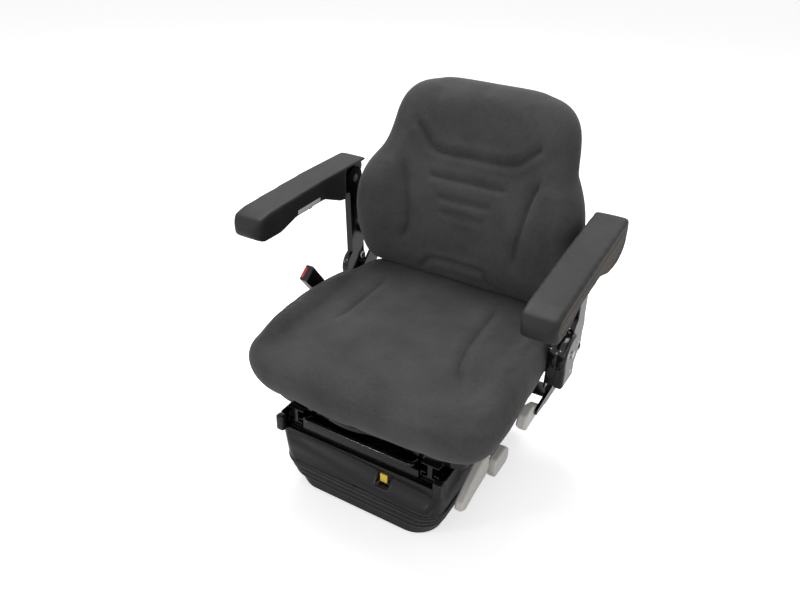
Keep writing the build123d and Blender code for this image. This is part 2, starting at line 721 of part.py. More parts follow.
def seat_pan():
    outer = Pos(0, 0, pan_z - PLATE) * extrude(seat_face(PAN_INSET), amount=PAN_H + PLATE)
    inner = Pos(0, 0, pan_z) * extrude(seat_face(PAN_INSET + PAN_WALL), amount=PAN_H + 1)
    return outer - inner + both_sides(latch_hanger())


def latch_hanger():
    """A lug under the pan with the stud that one end of the latch bar turns on."""
    x1 = bar_half_w - BAR_R - SIDE_GAP
    lug = box(x1 - HANGER_T, x1, BAR_PIVOT_Y - HANGER_HALF, BAR_PIVOT_Y + HANGER_HALF, bar_arm_z - 10, pan_z - PLATE)
    stud = rod_x(BAR_STUD_R, x1 - 1, bar_half_w + BAR_R + 2, BAR_PIVOT_Y, bar_arm_z)
    return lug + stud


def seat_cushion():
    """A crowned block: share of the height, inset at the sides, inset at the rear and share of the tilt."""
    levels = [(0, 36, 30, 0), (0.15, 14, 14, 0.1), (0.4, 3, 4, 0.3), (0.66, 0, 0, 0.6), (0.86, 6, 3, 0.9),
              (0.955, 19, 13, 1.0), (1.0, 42, 35, 1.0)]
    faces = []
    for share, inset, rear_inset, tilt in levels:
        z = cushion_z + CUSHION_THICK * share
        faces.append(Pos(0, 0, z) * Rot(CUSHION_TILT * tilt, 0, 0) * seat_face(inset, rear_inset))
    bolster = Pos(BOLSTER_X, BOLSTER_Y, cushion_z + CUSHION_THICK - BOLSTER_DROP) * scale(
        Sphere(1), by=(BOLSTER_W, BOLSTER_LEN, BOLSTER_H))
    return loft(faces) + both_sides(bolster)


def side_plate(side):
    """The seat-side recliner plate with its foot under the pan."""
    x0 = side_plate_x
    z0 = pan_z - PLATE - CROSS_BAR_H
    r, s, n = PLATE_REAR, PLATE_SHOULDER, PLATE_NOSE
    points = [(recline_y - PLATE_FRONT, z0), (recline_y + r, z0), (recline_y + r, recline_z + s),
              (recline_y + s, recline_z + r), (recline_y - s, recline_z + r),
              (recline_y - n, recline_z - s), (recline_y - PLATE_FRONT, recline_z - s)]
    plate = side_profile(points, x0, x0 + SIDE_PLATE)
    for y in (recline_y - PLATE_FRONT + 20, recline_y - 6):
        plate += box(FRAME_HALF_W + 4, x0, y, y + CROSS_BAR_W, z0, z0 + CROSS_BAR_H)
    plate -= rod_x(RECLINE_PIN_R + RUNNING_FIT, x0 - 1, x0 + SIDE_PLATE + 1, recline_y, recline_z)
    if side < 0:
        plate += rod_x(STALK_PIN_R, x0, side_out_x + 11, STALK_Y, stalk_z)
        plate += rod_x(STALK_PIN_R + 3, side_out_x + 9, side_out_x + 12, STALK_Y, stalk_z)
    return plate if side > 0 else mirror(plate, Plane.YZ)


# Backrest

def rear_line(z):
    """The backrest's rear plane at a height."""
    return back_rear_y + tan(radians(BACK_TILT)) * (z - back_bottom_z)


def back_levels():
    """The backrest's sections, as shares of its size.

    Height above the bottom, half width, depth at the middle, depth at the wings and how far the rear rolls in.
    """
    shares = [
        (0, 0.837, 0.571, 0.571, 0.118), (0.035, 0.927, 0.706, 0.773, 0),
        (0.151, 0.976, 0.697, 0.924, -0.084), (0.312, 1, 0.681, 1, -0.084),
        (0.452, 0.984, 0.622, 0.975, -0.084), (0.563, 0.931, 0.504, 0.807, -0.084),
        (0.653, 0.854, 0.378, 0.571, -0.084), (0.754, 0.813, 0.269, 0.37, -0.084),
        (0.842, 0.789, 0.185, 0.244, -0.067), (0.915, 0.736, 0.101, 0.134, -0.017),
        (0.97, 0.618, -0.017, 0, 0.084), (1, 0.447, -0.185, -0.176, 0.202)]
    return [(up * BACK_HEIGHT, w * BACK_HALF_W, back_rear_y - mid * BACK_DEPTH, back_rear_y - wing * BACK_DEPTH,
             roll * BACK_DEPTH) for up, w, mid, wing, roll in shares]


def back_section(z, half_w, front, wing, roll):
    rear = rear_line(z) - roll
    depth = rear - wing
    half = [(0, front), (0.35 * half_w, front - 1), (0.64 * half_w, (front * 2 + wing) / 3),
            (0.86 * half_w, wing + 1), (0.97 * half_w, wing + 0.13 * depth), (half_w, wing + 0.42 * depth),
            (0.91 * half_w, rear - 0.29 * depth), (0.72 * half_w, rear - 0.08 * depth), (0.4 * half_w, rear),
            (0, rear)]
    points = half + [(-x, y) for x, y in half[-2:0:-1]]
    return Pos(0, 0, z) * make_face(Spline(*points, periodic=True))


def rear_half_space(clear):
    """Everything behind the rear plane, moved back by a clearance."""
    block = box(-400, 400, clear, 400, -300, 900)
    return Pos(0, back_rear_y, back_bottom_z) * Rot(-BACK_TILT, 0, 0) * block


def back_cushion():
    sections = [back_section(back_bottom_z + level[0], *level[1:]) for level in back_levels()]
    return loft(sections) - rear_half_space(0)


def on_rear_plane(x, up, out):
    """A point given by its height along the rear plane and its distance behind it."""
    a = radians(BACK_TILT)
    return (x, back_rear_y + up * sin(a) + out * cos(a), back_bottom_z + up * cos(a) - out * sin(a))


def back_frame():
    """Round tube uprights and cross bars behind the cushion, on two recliner arms."""
    out = BACK_CLEAR + BACK_TUBE_R
    low = on_rear_plane(0, 14, out)
    path = FilletPolyline(
        (-back_arm_x, low[1], low[2]), (-BACK_TUBE_X, low[1], low[2]),
        on_rear_plane(-BACK_TUBE_X, BACK_TUBE_TOP, out), on_rear_plane(BACK_TUBE_X, BACK_TUBE_TOP, out),
        (BACK_TUBE_X, low[1], low[2]), (back_arm_x, low[1], low[2]), radius=BACK_TUBE_BEND)
    section = Plane(origin=path @ 0, z_dir=path % 0) * Circle(BACK_TUBE_R)
    frame = sweep(section, path=path)
    deep = BACK_CLEAR + BACK_SHELL - BACK_SHELL_WALL
    for up in (BACK_STRAP_LOW, BACK_STRAP_HIGH):
        strap = box(-BACK_TUBE_X, BACK_TUBE_X, deep - BACK_STRAP_T, deep, up, up + BACK_STRAP_W)
        frame += Pos(0, back_rear_y, back_bottom_z) * Rot(-BACK_TILT, 0, 0) * strap
    y, z = low[1], low[2]
    points = [(recline_y - 20, recline_z - 18), (recline_y + 20, recline_z - 18), (y + 14, z - 16), (y + 14, z + 14),
              (y - 14, z + 14), (recline_y - 20, recline_z + 16)]
    arm = side_profile(points, back_arm_x, back_arm_x + SIDE_PLATE)
    pin = rod_x(RECLINE_PIN_R, back_arm_x, support_x, recline_y, recline_z)
    return frame + both_sides(arm + pin)


def shell_face(inset, out):
    """The back shell's rounded outline, moved inwards, at a distance behind the rear plane."""
    w, h = BACK_HALF_W, BACK_HEIGHT
    half = [(0, 0.05 * h), (0.447 * w, 0.065 * h), (0.724 * w, 0.116 * h), (0.785 * w, 0.276 * h),
            (0.764 * w, 0.477 * h), (0.724 * w, 0.653 * h), (0.675 * w, 0.779 * h), (0.553 * w, 0.884 * h),
            (0.26 * w, 0.927 * h), (0, 0.935 * h)]
    points = half + [(-x, z) for x, z in half[-2:0:-1]]
    return Pos(0, 0, out) * make_face(Spline(*moved_in(points, inset), periodic=True))


def back_shell():
    """A moulded tray that closes the back behind the cushion and the frame."""
    deep = BACK_SHELL
    wall = BACK_SHELL_WALL
    taper = SHELL_TAPER
    outer = loft([shell_face(0, 0), shell_face(taper / 6, 0.55 * deep), shell_face(taper, deep)])
    inner = loft([shell_face(wall, -1), shell_face(taper / 6 + wall, 0.55 * deep), shell_face(taper, deep - wall)])
    tilt = radians(BACK_TILT)
    plane = Plane(origin=on_rear_plane(0, 0, BACK_CLEAR), x_dir=(-1, 0, 0), z_dir=(0, cos(tilt), -sin(tilt)))
    foot = box(BACK_TUBE_X - BACK_TUBE_R - 1, BACK_HALF_W, -10, SHELL_FOOT, -2, 2 * BACK_TUBE_R + 1)
    return plane * (outer - inner - both_sides(foot))


# Armrests

def arm_profile():
    """Side outline about the pivot, front along -Y."""
    f, t, r = -ARM_FRONT, ARM_TOP, ARM_REAR
    return [(r, 4), (r - 6, t - 8), (r - 22, t), (-120, t + 3), (f + 44, t), (f + 14, t - 6), (f, t - 22),
            (f + 3, -8), (f + 20, -20), (f + 74, -22), (f + 124, -9), (-110, -10), (-52, -36), (0, -44),
            (r - 26, -34)]


def armrest_body():
    """The armrest in its own place about the pivot, for the +X side."""
    x1 = arm_inner_x + ARM_PAD_W
    solid = side_profile(arm_profile(), arm_inner_x, x1)
    middle = (ARM_REAR - ARM_FRONT) / 2
    plan = Pos(arm_inner_x + ARM_PAD_W / 2, middle) * RectangleRounded(ARM_PAD_W, ARM_FRONT + ARM_REAR, 22)
    solid &= Pos(0, 0, -80) * extrude(plan, amount=160)
    gap_x = support_x + SUPPORT_T + SIDE_GAP
    notch = box(arm_inner_x - 1, gap_x, -ARM_HEAD_R - 8, ARM_REAR + 1, -80, ARM_HEAD_R + 1.5)
    bore = rod_x(ARM_PIN_R + RUNNING_FIT, arm_inner_x, gap_x + 15, 0, 0)
    return solid - notch - bore


def armrest_split():
    """The pad above and the shell below one parting line."""
    body = armrest_body()
    upper = box(arm_inner_x - 2, arm_inner_x + ARM_PAD_W + 2, -ARM_FRONT - 5, ARM_REAR + 5, ARM_TOP - ARM_PAD_H, 100)
    socket_top = DIAL_TOP_Z + DIAL_PIN_LEN + 0.3
    socket = rod_z(DIAL_PIN_R + RUNNING_FIT, arm_inner_x + ARM_PAD_W / 2, DIAL_Y, -40, socket_top)
    return body & upper, body - upper - socket


def place_arm(shape, side, tilt):
    shape = Pos(0, arm_pivot_y, arm_pivot_z) * Rot(tilt, 0, 0) * shape
    return shape if side > 0 else mirror(shape, Plane.YZ)


def arm_pin():
    pin = rod_x(ARM_PIN_R, support_x, support_x + SUPPORT_T + SIDE_GAP + 14, 0, 0)
    return pin


def arm_dial():
    x, y = arm_inner_x + ARM_PAD_W / 2, DIAL_Y
    dial = rod_z(DIAL_R, x, y, DIAL_TOP_Z - DIAL_T, DIAL_TOP_Z)
    for i in range(DIAL_FLUTES):
        angle = radians(i * 360 / DIAL_FLUTES)
        dial -= rod_z(1.6, x + DIAL_R * cos(angle), y + DIAL_R * sin(angle), -40, 0)
    return dial + rod_z(DIAL_PIN_R, x, y, DIAL_TOP_Z - 1, DIAL_TOP_Z + DIAL_PIN_LEN)


def arm_support(side):
    """The moulded upright from the recline axis to the armrest's pivot, fuller at the front of its foot."""
    y0, z0 = recline_y, recline_z
    y1, z1 = arm_pivot_y, arm_pivot_z
    length = hypot(y1 - y0, z1 - z0)
    angle = degrees(atan2(z1 - z0, y1 - y0))
    face = Pos((y0 + y1) / 2, (z0 + z1) / 2) * Rot(0, 0, angle) * SlotCenterToCenter(length, SUPPORT_W)
    face += Pos(y1, z1) * Circle(ARM_HEAD_R)
    face += Pos(y0 - SUPPORT_BULGE_FRONT, z0 + SUPPORT_BULGE_UP) * Circle(SUPPORT_BULGE_R)
    body = Pos(support_x, 0, 0) * extrude(Plane.YZ * face, amount=SUPPORT_T, dir=(1, 0, 0))
    body = fillet(body.faces().sort_by(Axis.X)[-1].edges(), SUPPORT_EDGE)
    body -= rod_x(ARM_PIN_R + RUNNING_FIT, support_x - 1, support_x + SUPPORT_T + 1, y1, z1)
    return body if side > 0 else mirror(body, Plane.YZ)


def belt_hook():
    """A small flat ring on a stub, on the -X upright's inner face."""
    x0 = -support_x
    z = recline_z + HOOK_RISE
    ring = rod_x(HOOK_R + HOOK_WIRE, x0 + 1.5, x0 + 4.0, HOOK_Y, z)
    ring -= rod_x(HOOK_R - HOOK_WIRE, x0, x0 + 5, HOOK_Y, z)
    return ring + rod_x(HOOK_WIRE - 0.3, x0, x0 + 2, HOOK_Y, z + HOOK_R)


# Levers

def grip(points, x0, x1, radius):
    """A flat moulded grip with rounded edges, from its side outline."""
    solid = side_profile(points, x0, x1)
    return fillet(solid.edges().group_by(Axis.X)[0] + solid.edges().group_by(Axis.X)[-1], radius)


def weight_lever_arm():
    y, z = WEIGHT_LEVER_Y, weight_lever_z
    return rod_x(LEVER_SHAFT_R, FRAME_HALF_W - 18, cover_half_w + 6, y, z) + rod_x(
        LEVER_SHAFT_R + 4, cover_half_w + 2, cover_half_w + 6, y, z)


def weight_lever_grip():
    y, z = WEIGHT_LEVER_Y, weight_lever_z
    points = [(y + 16, z + 8), (y - 14, z + 14), (y - 62, z - 8), (y - 96, z - 30), (y - 100, z - 46),
              (y - 82, z - 56), (y - 40, z - 46), (y + 8, z - 40), (y + 18, z - 22)]
    return grip(points, cover_half_w + 6, cover_half_w + 24, 5)


def height_lever_arm():
    y, z = HEIGHT_LEVER_Y, height_lever_z
    arm = rod_x(LEVER_SHAFT_R, FRAME_HALF_W - 18, cover_half_w + 14, y, z)
    points = [(y - 10, z + 8), (y + 8, z + 10), (y + 14, z - 8), (y + 10, z - 26), (y - 8, z - 26), (y - 4, z - 8)]
    return arm + side_profile(points, cover_half_w + 6, cover_half_w + 14)


def height_lever_grip():
    y, z = HEIGHT_LEVER_Y, height_lever_z
    points = [(y - 20, z - 22), (y + 28, z - 22), (y + 42, z - 34), (y + 42, z - 58), (y + 30, z - 66),
              (y - 22, z - 64), (y - 28, z - 44)]
    return grip(points, cover_half_w + 14.2, cover_half_w + 34, 5)


def recline_lever_arm():
    y, z = RECLINE_LEVER_Y, recline_lever_z
    arm = rod_x(LEVER_SHAFT_R, side_out_x, side_out_x + 7, y, z)
    points = [(y + 12, z - 10), (y + 12, z + 10), (y - 60, z + 4), (y - 100, z), (y - 100, z - 10), (y - 60, z - 12)]
    return arm + side_profile(points, side_out_x + 1, side_out_x + 7)


def recline_lever_grip():
    y, z = RECLINE_LEVER_Y, recline_lever_z
    points = [(y - 68, z - 26), (y - 70, z - 6), (y - 110, z + 12), (y - 138, z + 8), (y - 146, z - 14),
              (y - 132, z - 30)]
    return grip(points, side_out_x - 18, side_out_x + 0.8, 4)


# Belt

def reel_outline(inset):
    """The reel housing's side outline: a drum over a square foot."""
    y, z = RETRACTOR_Y, retractor_z
    radius = RETRACTOR_R - inset
    foot = RETRACTOR_BLOCK - inset
    return Pos(y, z) * (Circle(radius) + Pos(-0.1 * radius, -foot / 2) * Rectangle(1.5 * radius, foot))


def retractor():
    """The belt reel's bracket and the inner half of its housing, on the +X side plate."""
    x0 = side_out_x
    x1 = x0 + BRACKET_T
    y, z = RETRACTOR_Y, retractor_z
    plate = box(x0, x1, y - 30, y + 56, recline_z - 18, z + 20)
    half = extrude(Plane.YZ * reel_outline(2), amount=RETRACTOR_W / 2, dir=(1, 0, 0))
    body = plate + Pos(x1, 0, 0) * half
    slot = box(x1 + 4, x1 + 4 + WEBBING_T + 0.6, y + 4 - WEBBING_W / 2, y + 4 + WEBBING_W / 2, z + 20, z + RETRACTOR_R + 1)
    return body - slot - rod_x(SPINDLE_R + RUNNING_FIT, x0 - 1, x1 + RETRACTOR_W, y, z)


def retractor_cover():
    """The moulded outer half of the reel's housing, rounded over at its rim."""
    x0 = side_out_x + BRACKET_T + RETRACTOR_W / 2 + RETRACTOR_SEAM
    half = Pos(x0, 0, 0) * extrude(Plane.YZ * reel_outline(0), amount=RETRACTOR_W / 2, dir=(1, 0, 0))
    half = fillet(half.faces().sort_by(Axis.X)[-1].edges(), RETRACTOR_EDGE)
    return half - rod_x(SPINDLE_R + RUNNING_FIT, x0 - 1, x0 + RETRACTOR_W, RETRACTOR_Y, retractor_z)


def retractor_spindle():
    """The headed spindle that holds the two halves and the reel."""
    x1 = side_out_x + BRACKET_T + RETRACTOR_W + RETRACTOR_SEAM
    y, z = RETRACTOR_Y, retractor_z
    return rod_x(SPINDLE_R, side_out_x, x1, y, z) + rod_x(SPINDLE_R + 3, x1, x1 + 2, y, z)


def belt_webbing():
    """The start of the belt, standing in the housing's slot."""
    x0 = side_out_x + BRACKET_T + 4.3
    y = RETRACTOR_Y + 4
    half = WEBBING_W / 2 - 1
    return box(x0, x0 + WEBBING_T, y - half, y + half, retractor_z + 20.3, retractor_z + RETRACTOR_R + WEBBING_OUT)


def buckle_parts():
    """Stalk, body and button of the buckle, leaning forward beside the cushion."""
    x0 = -side_out_x - SIDE_GAP
    top = STALK_LEN + BUCKLE_LEN
    middle = -0.7 - BUCKLE_T / 2
    face = middle - BUCKLE_T / 2
    lean = Pos(x0, STALK_Y, stalk_z) * Rot(STALK_LEAN, 0, 0)
    stalk = box(-7, -1, -9, 9, -12, STALK_LEN) + rod_x(12, -7, 0, 0, 0)
    stalk -= rod_x(STALK_PIN_R + RUNNING_FIT, -8, 1, 0, 0)
    body = box(face, middle + BUCKLE_T / 2, -BUCKLE_W / 2, BUCKLE_W / 2, STALK_LEN, top)
    body = fillet(body.edges().filter_by(Axis.Z), BUCKLE_EDGE)
    pocket = box(face - 1, face + BUTTON_DEEP, -BUTTON_W / 2, BUTTON_W / 2, top - BUTTON_LEN, top + 1)
    button = box(face - 0.5, face + BUTTON_DEEP - 0.5, -BUTTON_W / 2 + 0.4, BUTTON_W / 2 - 0.4,
                 top - BUTTON_LEN + BUTTON_TRAVEL, top)
    return lean * stalk, lean * (body - pocket), lean * button


def build():
    export(base_frame(), "base_frame")
    export(roller_tracks(PLATE, low_pivot_z), "base_tracks")
    export(roller_tracks(plate_z - track_height, high_pivot_z), "upper_tracks")
    export(pivot_shaft(low_pivot_z), "base_pivot_shaft")
    export(pivot_shaft(high_pivot_z), "upper_pivot_shaft")
    export(scissor_arms(OUTER_ARM_X, low_pivot_z, high_pivot_z, True), "outer_scissor_arms")
    export(scissor_arms(inner_arm_x, high_pivot_z, low_pivot_z, False), "inner_scissor_arms")
    export(roller_pair(high_pivot_z), "upper_rollers")
    export(roller_pair(low_pivot_z), "lower_rollers")
    export(damper_tube(), "damper_tube")
    export(damper_rod(), "damper_rod")
    export(damper_pin(*DAMPER_LOW), "damper_lower_pin")
    export(damper_pin(*DAMPER_HIGH), "damper_upper_pin")
    export(air_spring(), "air_spring")
    export(compressor(), "compressor")
    export(bellows(), "bellows")
    export(upper_frame(), "upper_frame")
    export(suspension_cover(), "suspension_cover")
    export(height_indicator(), "height_indicator")
    export(rail_glides(), "rail_glides")
    export(latch_bar(), "latch_bar")
    export(seat_pan(), "seat_pan")
    export(seat_cushion(), "seat_cushion")
    export(back_cushion(), "back_cushion")
    export(back_frame(), "back_frame")
    export(back_shell(), "back_shell")
    for side, name, tilt in ((-1, "left", LEFT_ARM_TILT), (1, "right", RIGHT_ARM_TILT)):
        export(lower_rail(side), name + "_lower_rail")
        export(upper_rail(side), name + "_upper_rail")
        export(side_plate(side), name + "_side_plate")
        export(arm_support(side), name + "_arm_support")
        pad, shell = armrest_split()
        export(place_arm(pad, side, tilt), name + "_armrest_pad")
        export(place_arm(shell, side, tilt), name + "_armrest_shell")
        export(place_arm(arm_pin(), side, 0), name + "_armrest_pin")
        export(place_arm(arm_dial(), side, tilt), name + "_armrest_dial")
    export(weight_lever_arm(), "weight_lever_arm")
    export(weight_lever_grip(), "weight_lever_grip")
    export(height_lever_arm(), "height_lever_arm")
    export(height_lever_grip(), "height_lever_grip")
    export(recline_lever_arm(), "recline_lever_arm")
    export(recline_lever_grip(), "recline_lever_grip")
    export(retractor(), "belt_retractor")
    export(retractor_cover(), "retractor_cover")
    export(retractor_spindle(), "retractor_spindle")
    export(belt_hook(), "belt_hook")
    export(belt_webbing(), "belt_webbing")
    stalk, body, button = buckle_parts()
    export(stalk, "buckle_stalk")
    export(body, "buckle_body")
    export(button, "buckle_button")


build()
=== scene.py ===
"""Dresses the suspension seat's CAD frame: cushions, armrests, finishes, studio and camera."""

import json
import logging
import math
from dataclasses import dataclass
from enum import Enum
from typing import Sequence

import bmesh
import bpy
import numpy as np
from mathutils import Matrix, Vector


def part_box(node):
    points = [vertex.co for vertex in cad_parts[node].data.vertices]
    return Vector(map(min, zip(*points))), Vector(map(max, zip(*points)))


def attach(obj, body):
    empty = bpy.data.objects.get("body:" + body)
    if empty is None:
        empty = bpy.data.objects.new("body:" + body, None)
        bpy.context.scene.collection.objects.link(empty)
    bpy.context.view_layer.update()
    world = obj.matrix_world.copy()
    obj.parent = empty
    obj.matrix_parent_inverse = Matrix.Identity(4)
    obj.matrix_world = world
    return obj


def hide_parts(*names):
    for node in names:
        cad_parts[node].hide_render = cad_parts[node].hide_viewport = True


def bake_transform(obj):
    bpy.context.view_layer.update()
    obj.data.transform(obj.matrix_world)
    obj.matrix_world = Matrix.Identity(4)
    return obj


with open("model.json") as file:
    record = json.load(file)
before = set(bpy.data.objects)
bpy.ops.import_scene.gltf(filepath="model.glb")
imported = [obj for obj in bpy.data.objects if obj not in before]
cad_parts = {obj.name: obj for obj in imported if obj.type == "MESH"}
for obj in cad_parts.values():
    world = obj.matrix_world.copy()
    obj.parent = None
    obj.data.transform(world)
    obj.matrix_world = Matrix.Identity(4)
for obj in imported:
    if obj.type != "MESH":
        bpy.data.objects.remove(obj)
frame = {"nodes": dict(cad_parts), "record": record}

LOG = logging.getLogger("seat")
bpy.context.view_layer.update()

CLOTH_FRAMES = 20
CLOTH_PRESSURE = 4.0
WELD_GAP = 1e-5
CREASE_REACH = 0.55
VALLEY_REACH = 1.5
SHOULDER_PLACE = 3.2
SHOULDER_REACH = 1.8
CREASE_SHARE = 0.5
VALLEY_SHARE = 0.6
CORNER_CUT = 0.12
FACING_BAND = (0.25, 0.6)

Point2 = tuple[float, float]
Point3 = tuple[float, float, float]


# Finishes


class Grain(Enum):
    """The kind of surface texture a plastic carries."""

    SATIN = "satin"
    LEATHER = "leather"
    ROUGH = "rough"
    SMOOTH = "smooth"


class NodeSheet:
    """A material's node tree with short ways to add and join nodes."""

    def __init__(self, name: str) -> None:
        """Start an empty material with a Principled shader.

        Args:
            name: the material's name.
        """
        self.material = bpy.data.materials.new(name)
        self.material.use_nodes = True
        self.tree = self.material.node_tree
        self.shader = self.tree.nodes["Principled BSDF"]
        coords = self.tree.nodes.new("ShaderNodeTexCoord")
        self.place = coords.outputs["Object"]

    def add(self, kind: str, inputs: dict | None = None, **settings: object) -> bpy.types.Node:
        """Add a node.

        Args:
            kind: the node's type name without the ShaderNode prefix.
            inputs: socket name or index to a value or to another node's output.
            **settings: attributes to set on the node.

        Returns:
            The new node.
        """
        node = self.tree.nodes.new("ShaderNode" + kind)
        for key, value in settings.items():
            setattr(node, key, value)
        for key, value in (inputs or {}).items():
            if isinstance(value, bpy.types.NodeSocket):
                self.tree.links.new(value, node.inputs[key])
            else:
                node.inputs[key].default_value = value
        return node

    def noise(self, scale: float, detail: float = 4.0, roughness: float = 0.55,
              vector: bpy.types.NodeSocket | None = None) -> bpy.types.NodeSocket:
        """A noise pattern's value.

        Args:
            scale: how many lumps to a metre.
            detail: octaves.
            roughness: how strong the finer octaves are.
            vector: where to read it, the object coordinates by default.

        Returns:
            The pattern's output socket.
        """
        node = self.add("TexNoise", {"Scale": scale, "Detail": detail, "Roughness": roughness,
                                     "Vector": vector or self.place})
        return node.outputs["Fac"]

    def ramp(self, value: bpy.types.NodeSocket, low: float, high: float,
             colour_low: Point3, colour_high: Point3) -> bpy.types.NodeSocket:
        """A colour between two others, by a value between two limits.

        Args:
            value: the driving value.
            low: where the first colour ends.
            high: where the second one starts.
            colour_low: the first colour.
            colour_high: the second colour.

        Returns:
            The colour's output socket.
        """
        node = self.add("ValToRGB", {"Fac": value})
        node.color_ramp.elements[0].position = low
        node.color_ramp.elements[1].position = high
        node.color_ramp.elements[0].color = (*colour_low, 1)
        node.color_ramp.elements[1].color = (*colour_high, 1)
        return node.outputs["Color"]

    def spread(self, value: bpy.types.NodeSocket, low: float, high: float) -> bpy.types.NodeSocket:
        """A 0 to 1 value moved to another range.

        Args:
            value: the value.
            low: what 0 becomes.
            high: what 1 becomes.

        Returns:
            The new value's output socket.
        """
        node = self.add("MapRange", {"Value": value, "To Min": low, "To Max": high})
        return node.outputs["Result"]

    def bump(self, height: bpy.types.NodeSocket, strength: float, distance: float,
             below: bpy.types.NodeSocket | None = None) -> bpy.types.NodeSocket:
        """A bumped normal.

        Args:
            height: the height pattern.
            strength: how much of it shows.
            distance: its height in metres.
            below: a normal that this one adds to.

        Returns:
            The normal's output socket.
        """
        inputs = {"Height": height, "Strength": strength, "Distance": distance}
        if below is not None:
            inputs["Normal"] = below
        return self.add("Bump", inputs).outputs["Normal"]

    def finish(self, colour: bpy.types.NodeSocket, roughness: bpy.types.NodeSocket | float,
               normal: bpy.types.NodeSocket | None = None, **sockets: float) -> bpy.types.Material:
        """Join the results to the shader.

        Args:
            colour: the colour socket.
            roughness: the roughness, as a socket or one number.
            normal: the bumped normal.
            **sockets: other shader inputs, with underscores for spaces.

        Returns:
            The material.
        """
        self.tree.links.new(colour, self.shader.inputs["Base Color"])
        if isinstance(roughness, bpy.types.NodeSocket):
            self.tree.links.new(roughness, self.shader.inputs["Roughness"])
        else:
            self.shader.inputs["Roughness"].default_value = roughness
        if normal is not None:
            self.tree.links.new(normal, self.shader.inputs["Normal"])
        for key, value in sockets.items():
            self.shader.inputs[key.replace("_", " ")].default_value = value
        return self.material


@dataclass(frozen=True)
class WovenCover:
    """A tight woven seat cloth."""

    name: str = "woven_seat_cloth"
    dark: Point3 = (0.041, 0.041, 0.042)
    light: Point3 = (0.070, 0.070, 0.071)
    thread: float = 0.0011

    def make(self) -> bpy.types.Material:
        """Build the material.

        Returns:
            The material.
        """
        sheet = NodeSheet(self.name)
        turns = math.pi / self.thread
        waves = []
        for axis in ((1.0, 0.0, 0.35), (0.0, 1.0, 0.8)):
            dot = sheet.add("VectorMath", {0: sheet.place, 1: axis}, operation="DOT_PRODUCT")
            scaled = sheet.add("Math", {0: dot.outputs["Value"], 1: turns}, operation="MULTIPLY")
            waves.append(sheet.add("Math", {0: scaled.outputs[0]}, operation="SINE").outputs[0])
        weave = sheet.add("Math", {0: waves[0], 1: waves[1]}, operation="MULTIPLY").outputs[0]
        fuzz = sheet.noise(1400, 3.0)
        height = sheet.add("Math", {0: fuzz, 1: 0.35, 2: weave}, operation="MULTIPLY_ADD").outputs[0]
        blotch = sheet.noise(9, 3.0)
        mottle = sheet.noise(160, 4.0)
        mixed = sheet.add("Math", {0: mottle, 1: 0.45, 2: blotch}, operation="MULTIPLY_ADD").outputs[0]
        colour = sheet.ramp(mixed, 0.5, 0.95, self.dark, self.light)
        soft = sheet.bump(sheet.noise(45, 3.0), 0.25, 0.0006)
        normal = sheet.bump(height, 0.35, 0.00018, soft)
        rough = sheet.spread(mottle, 0.72, 0.9)
        return sheet.finish(colour, rough, normal, Sheen_Weight=0.1, Sheen_Roughness=0.4,
                            Specular_IOR_Level=0.2)


@dataclass(frozen=True)
class MouldedSkin:
    """A moulded plastic or foam skin with its own grain."""

    name: str
    dark: Point3
    light: Point3
    grain: Grain = Grain.SATIN
    roughness: float = 0.5
    specular: float = 0.25

    def make(self) -> bpy.types.Material:
        """Build the material.

        Returns:
            The material.
        """
        sheet = NodeSheet(self.name)
        blotch = sheet.noise(14, 4.0)
        colour = sheet.ramp(blotch, 0.35, 0.7, self.dark, self.light)
        rough = sheet.spread(sheet.noise(60, 5.0), self.roughness - 0.07, self.roughness + 0.09)
        if self.grain is Grain.LEATHER:
            cells = sheet.add("TexVoronoi", {"Scale": 900.0, "Vector": sheet.place},
                              feature="DISTANCE_TO_EDGE")
            soft = sheet.bump(sheet.noise(70), 0.12, 0.0006)
            normal = sheet.bump(cells.outputs["Distance"], 0.32, 0.0002, soft)
        elif self.grain is Grain.ROUGH:
            flecks = sheet.noise(420, 6.0, 0.75)
            normal = sheet.bump(flecks, 0.8, 0.0007, sheet.bump(sheet.noise(90), 0.3, 0.0008))
            colour = sheet.ramp(flecks, 0.38, 0.66, self.dark, self.light)
        elif self.grain is Grain.SATIN:
            normal = sheet.bump(sheet.noise(1100, 3.0), 0.16, 0.0001)
        else:
            normal = sheet.bump(sheet.noise(38, 2.0), 0.06, 0.0004)
        return sheet.finish(colour, rough, normal, Specular_IOR_Level=self.specular)


@dataclass(frozen=True)
class PaintedSteel:
    """Gloss paint on pressed steel, rubbed thin along its edges."""

    name: str = "black_enamel"
    paint: Point3 = (0.0025, 0.0025, 0.0028)
    worn: Point3 = (0.016, 0.015, 0.014)
    roughness: float = 0.12
    specular: float = 0.4

    def make(self) -> bpy.types.Material:
        """Build the material.

        Returns:
            The material.
        """
        sheet = NodeSheet(self.name)
        edge = sheet.add("NewGeometry").outputs["Pointiness"]
        rubbed = sheet.add("MapRange", {"Value": edge, "From Min": 0.53, "From Max": 0.6}).outputs["Result"]
        scuffs = sheet.noise(120, 6.0, 0.7)
        mask = sheet.add("Math", {0: rubbed, 1: scuffs}, operation="MULTIPLY").outputs[0]
        colour = sheet.ramp(mask, 0.3, 0.8, self.paint, self.worn)
        rough = sheet.spread(scuffs, self.roughness - 0.05, self.roughness + 0.12)
        normal = sheet.bump(sheet.noise(70, 3.0), 0.12, 0.0004)
        return sheet.finish(colour, rough, normal, Specular_IOR_Level=self.specular)


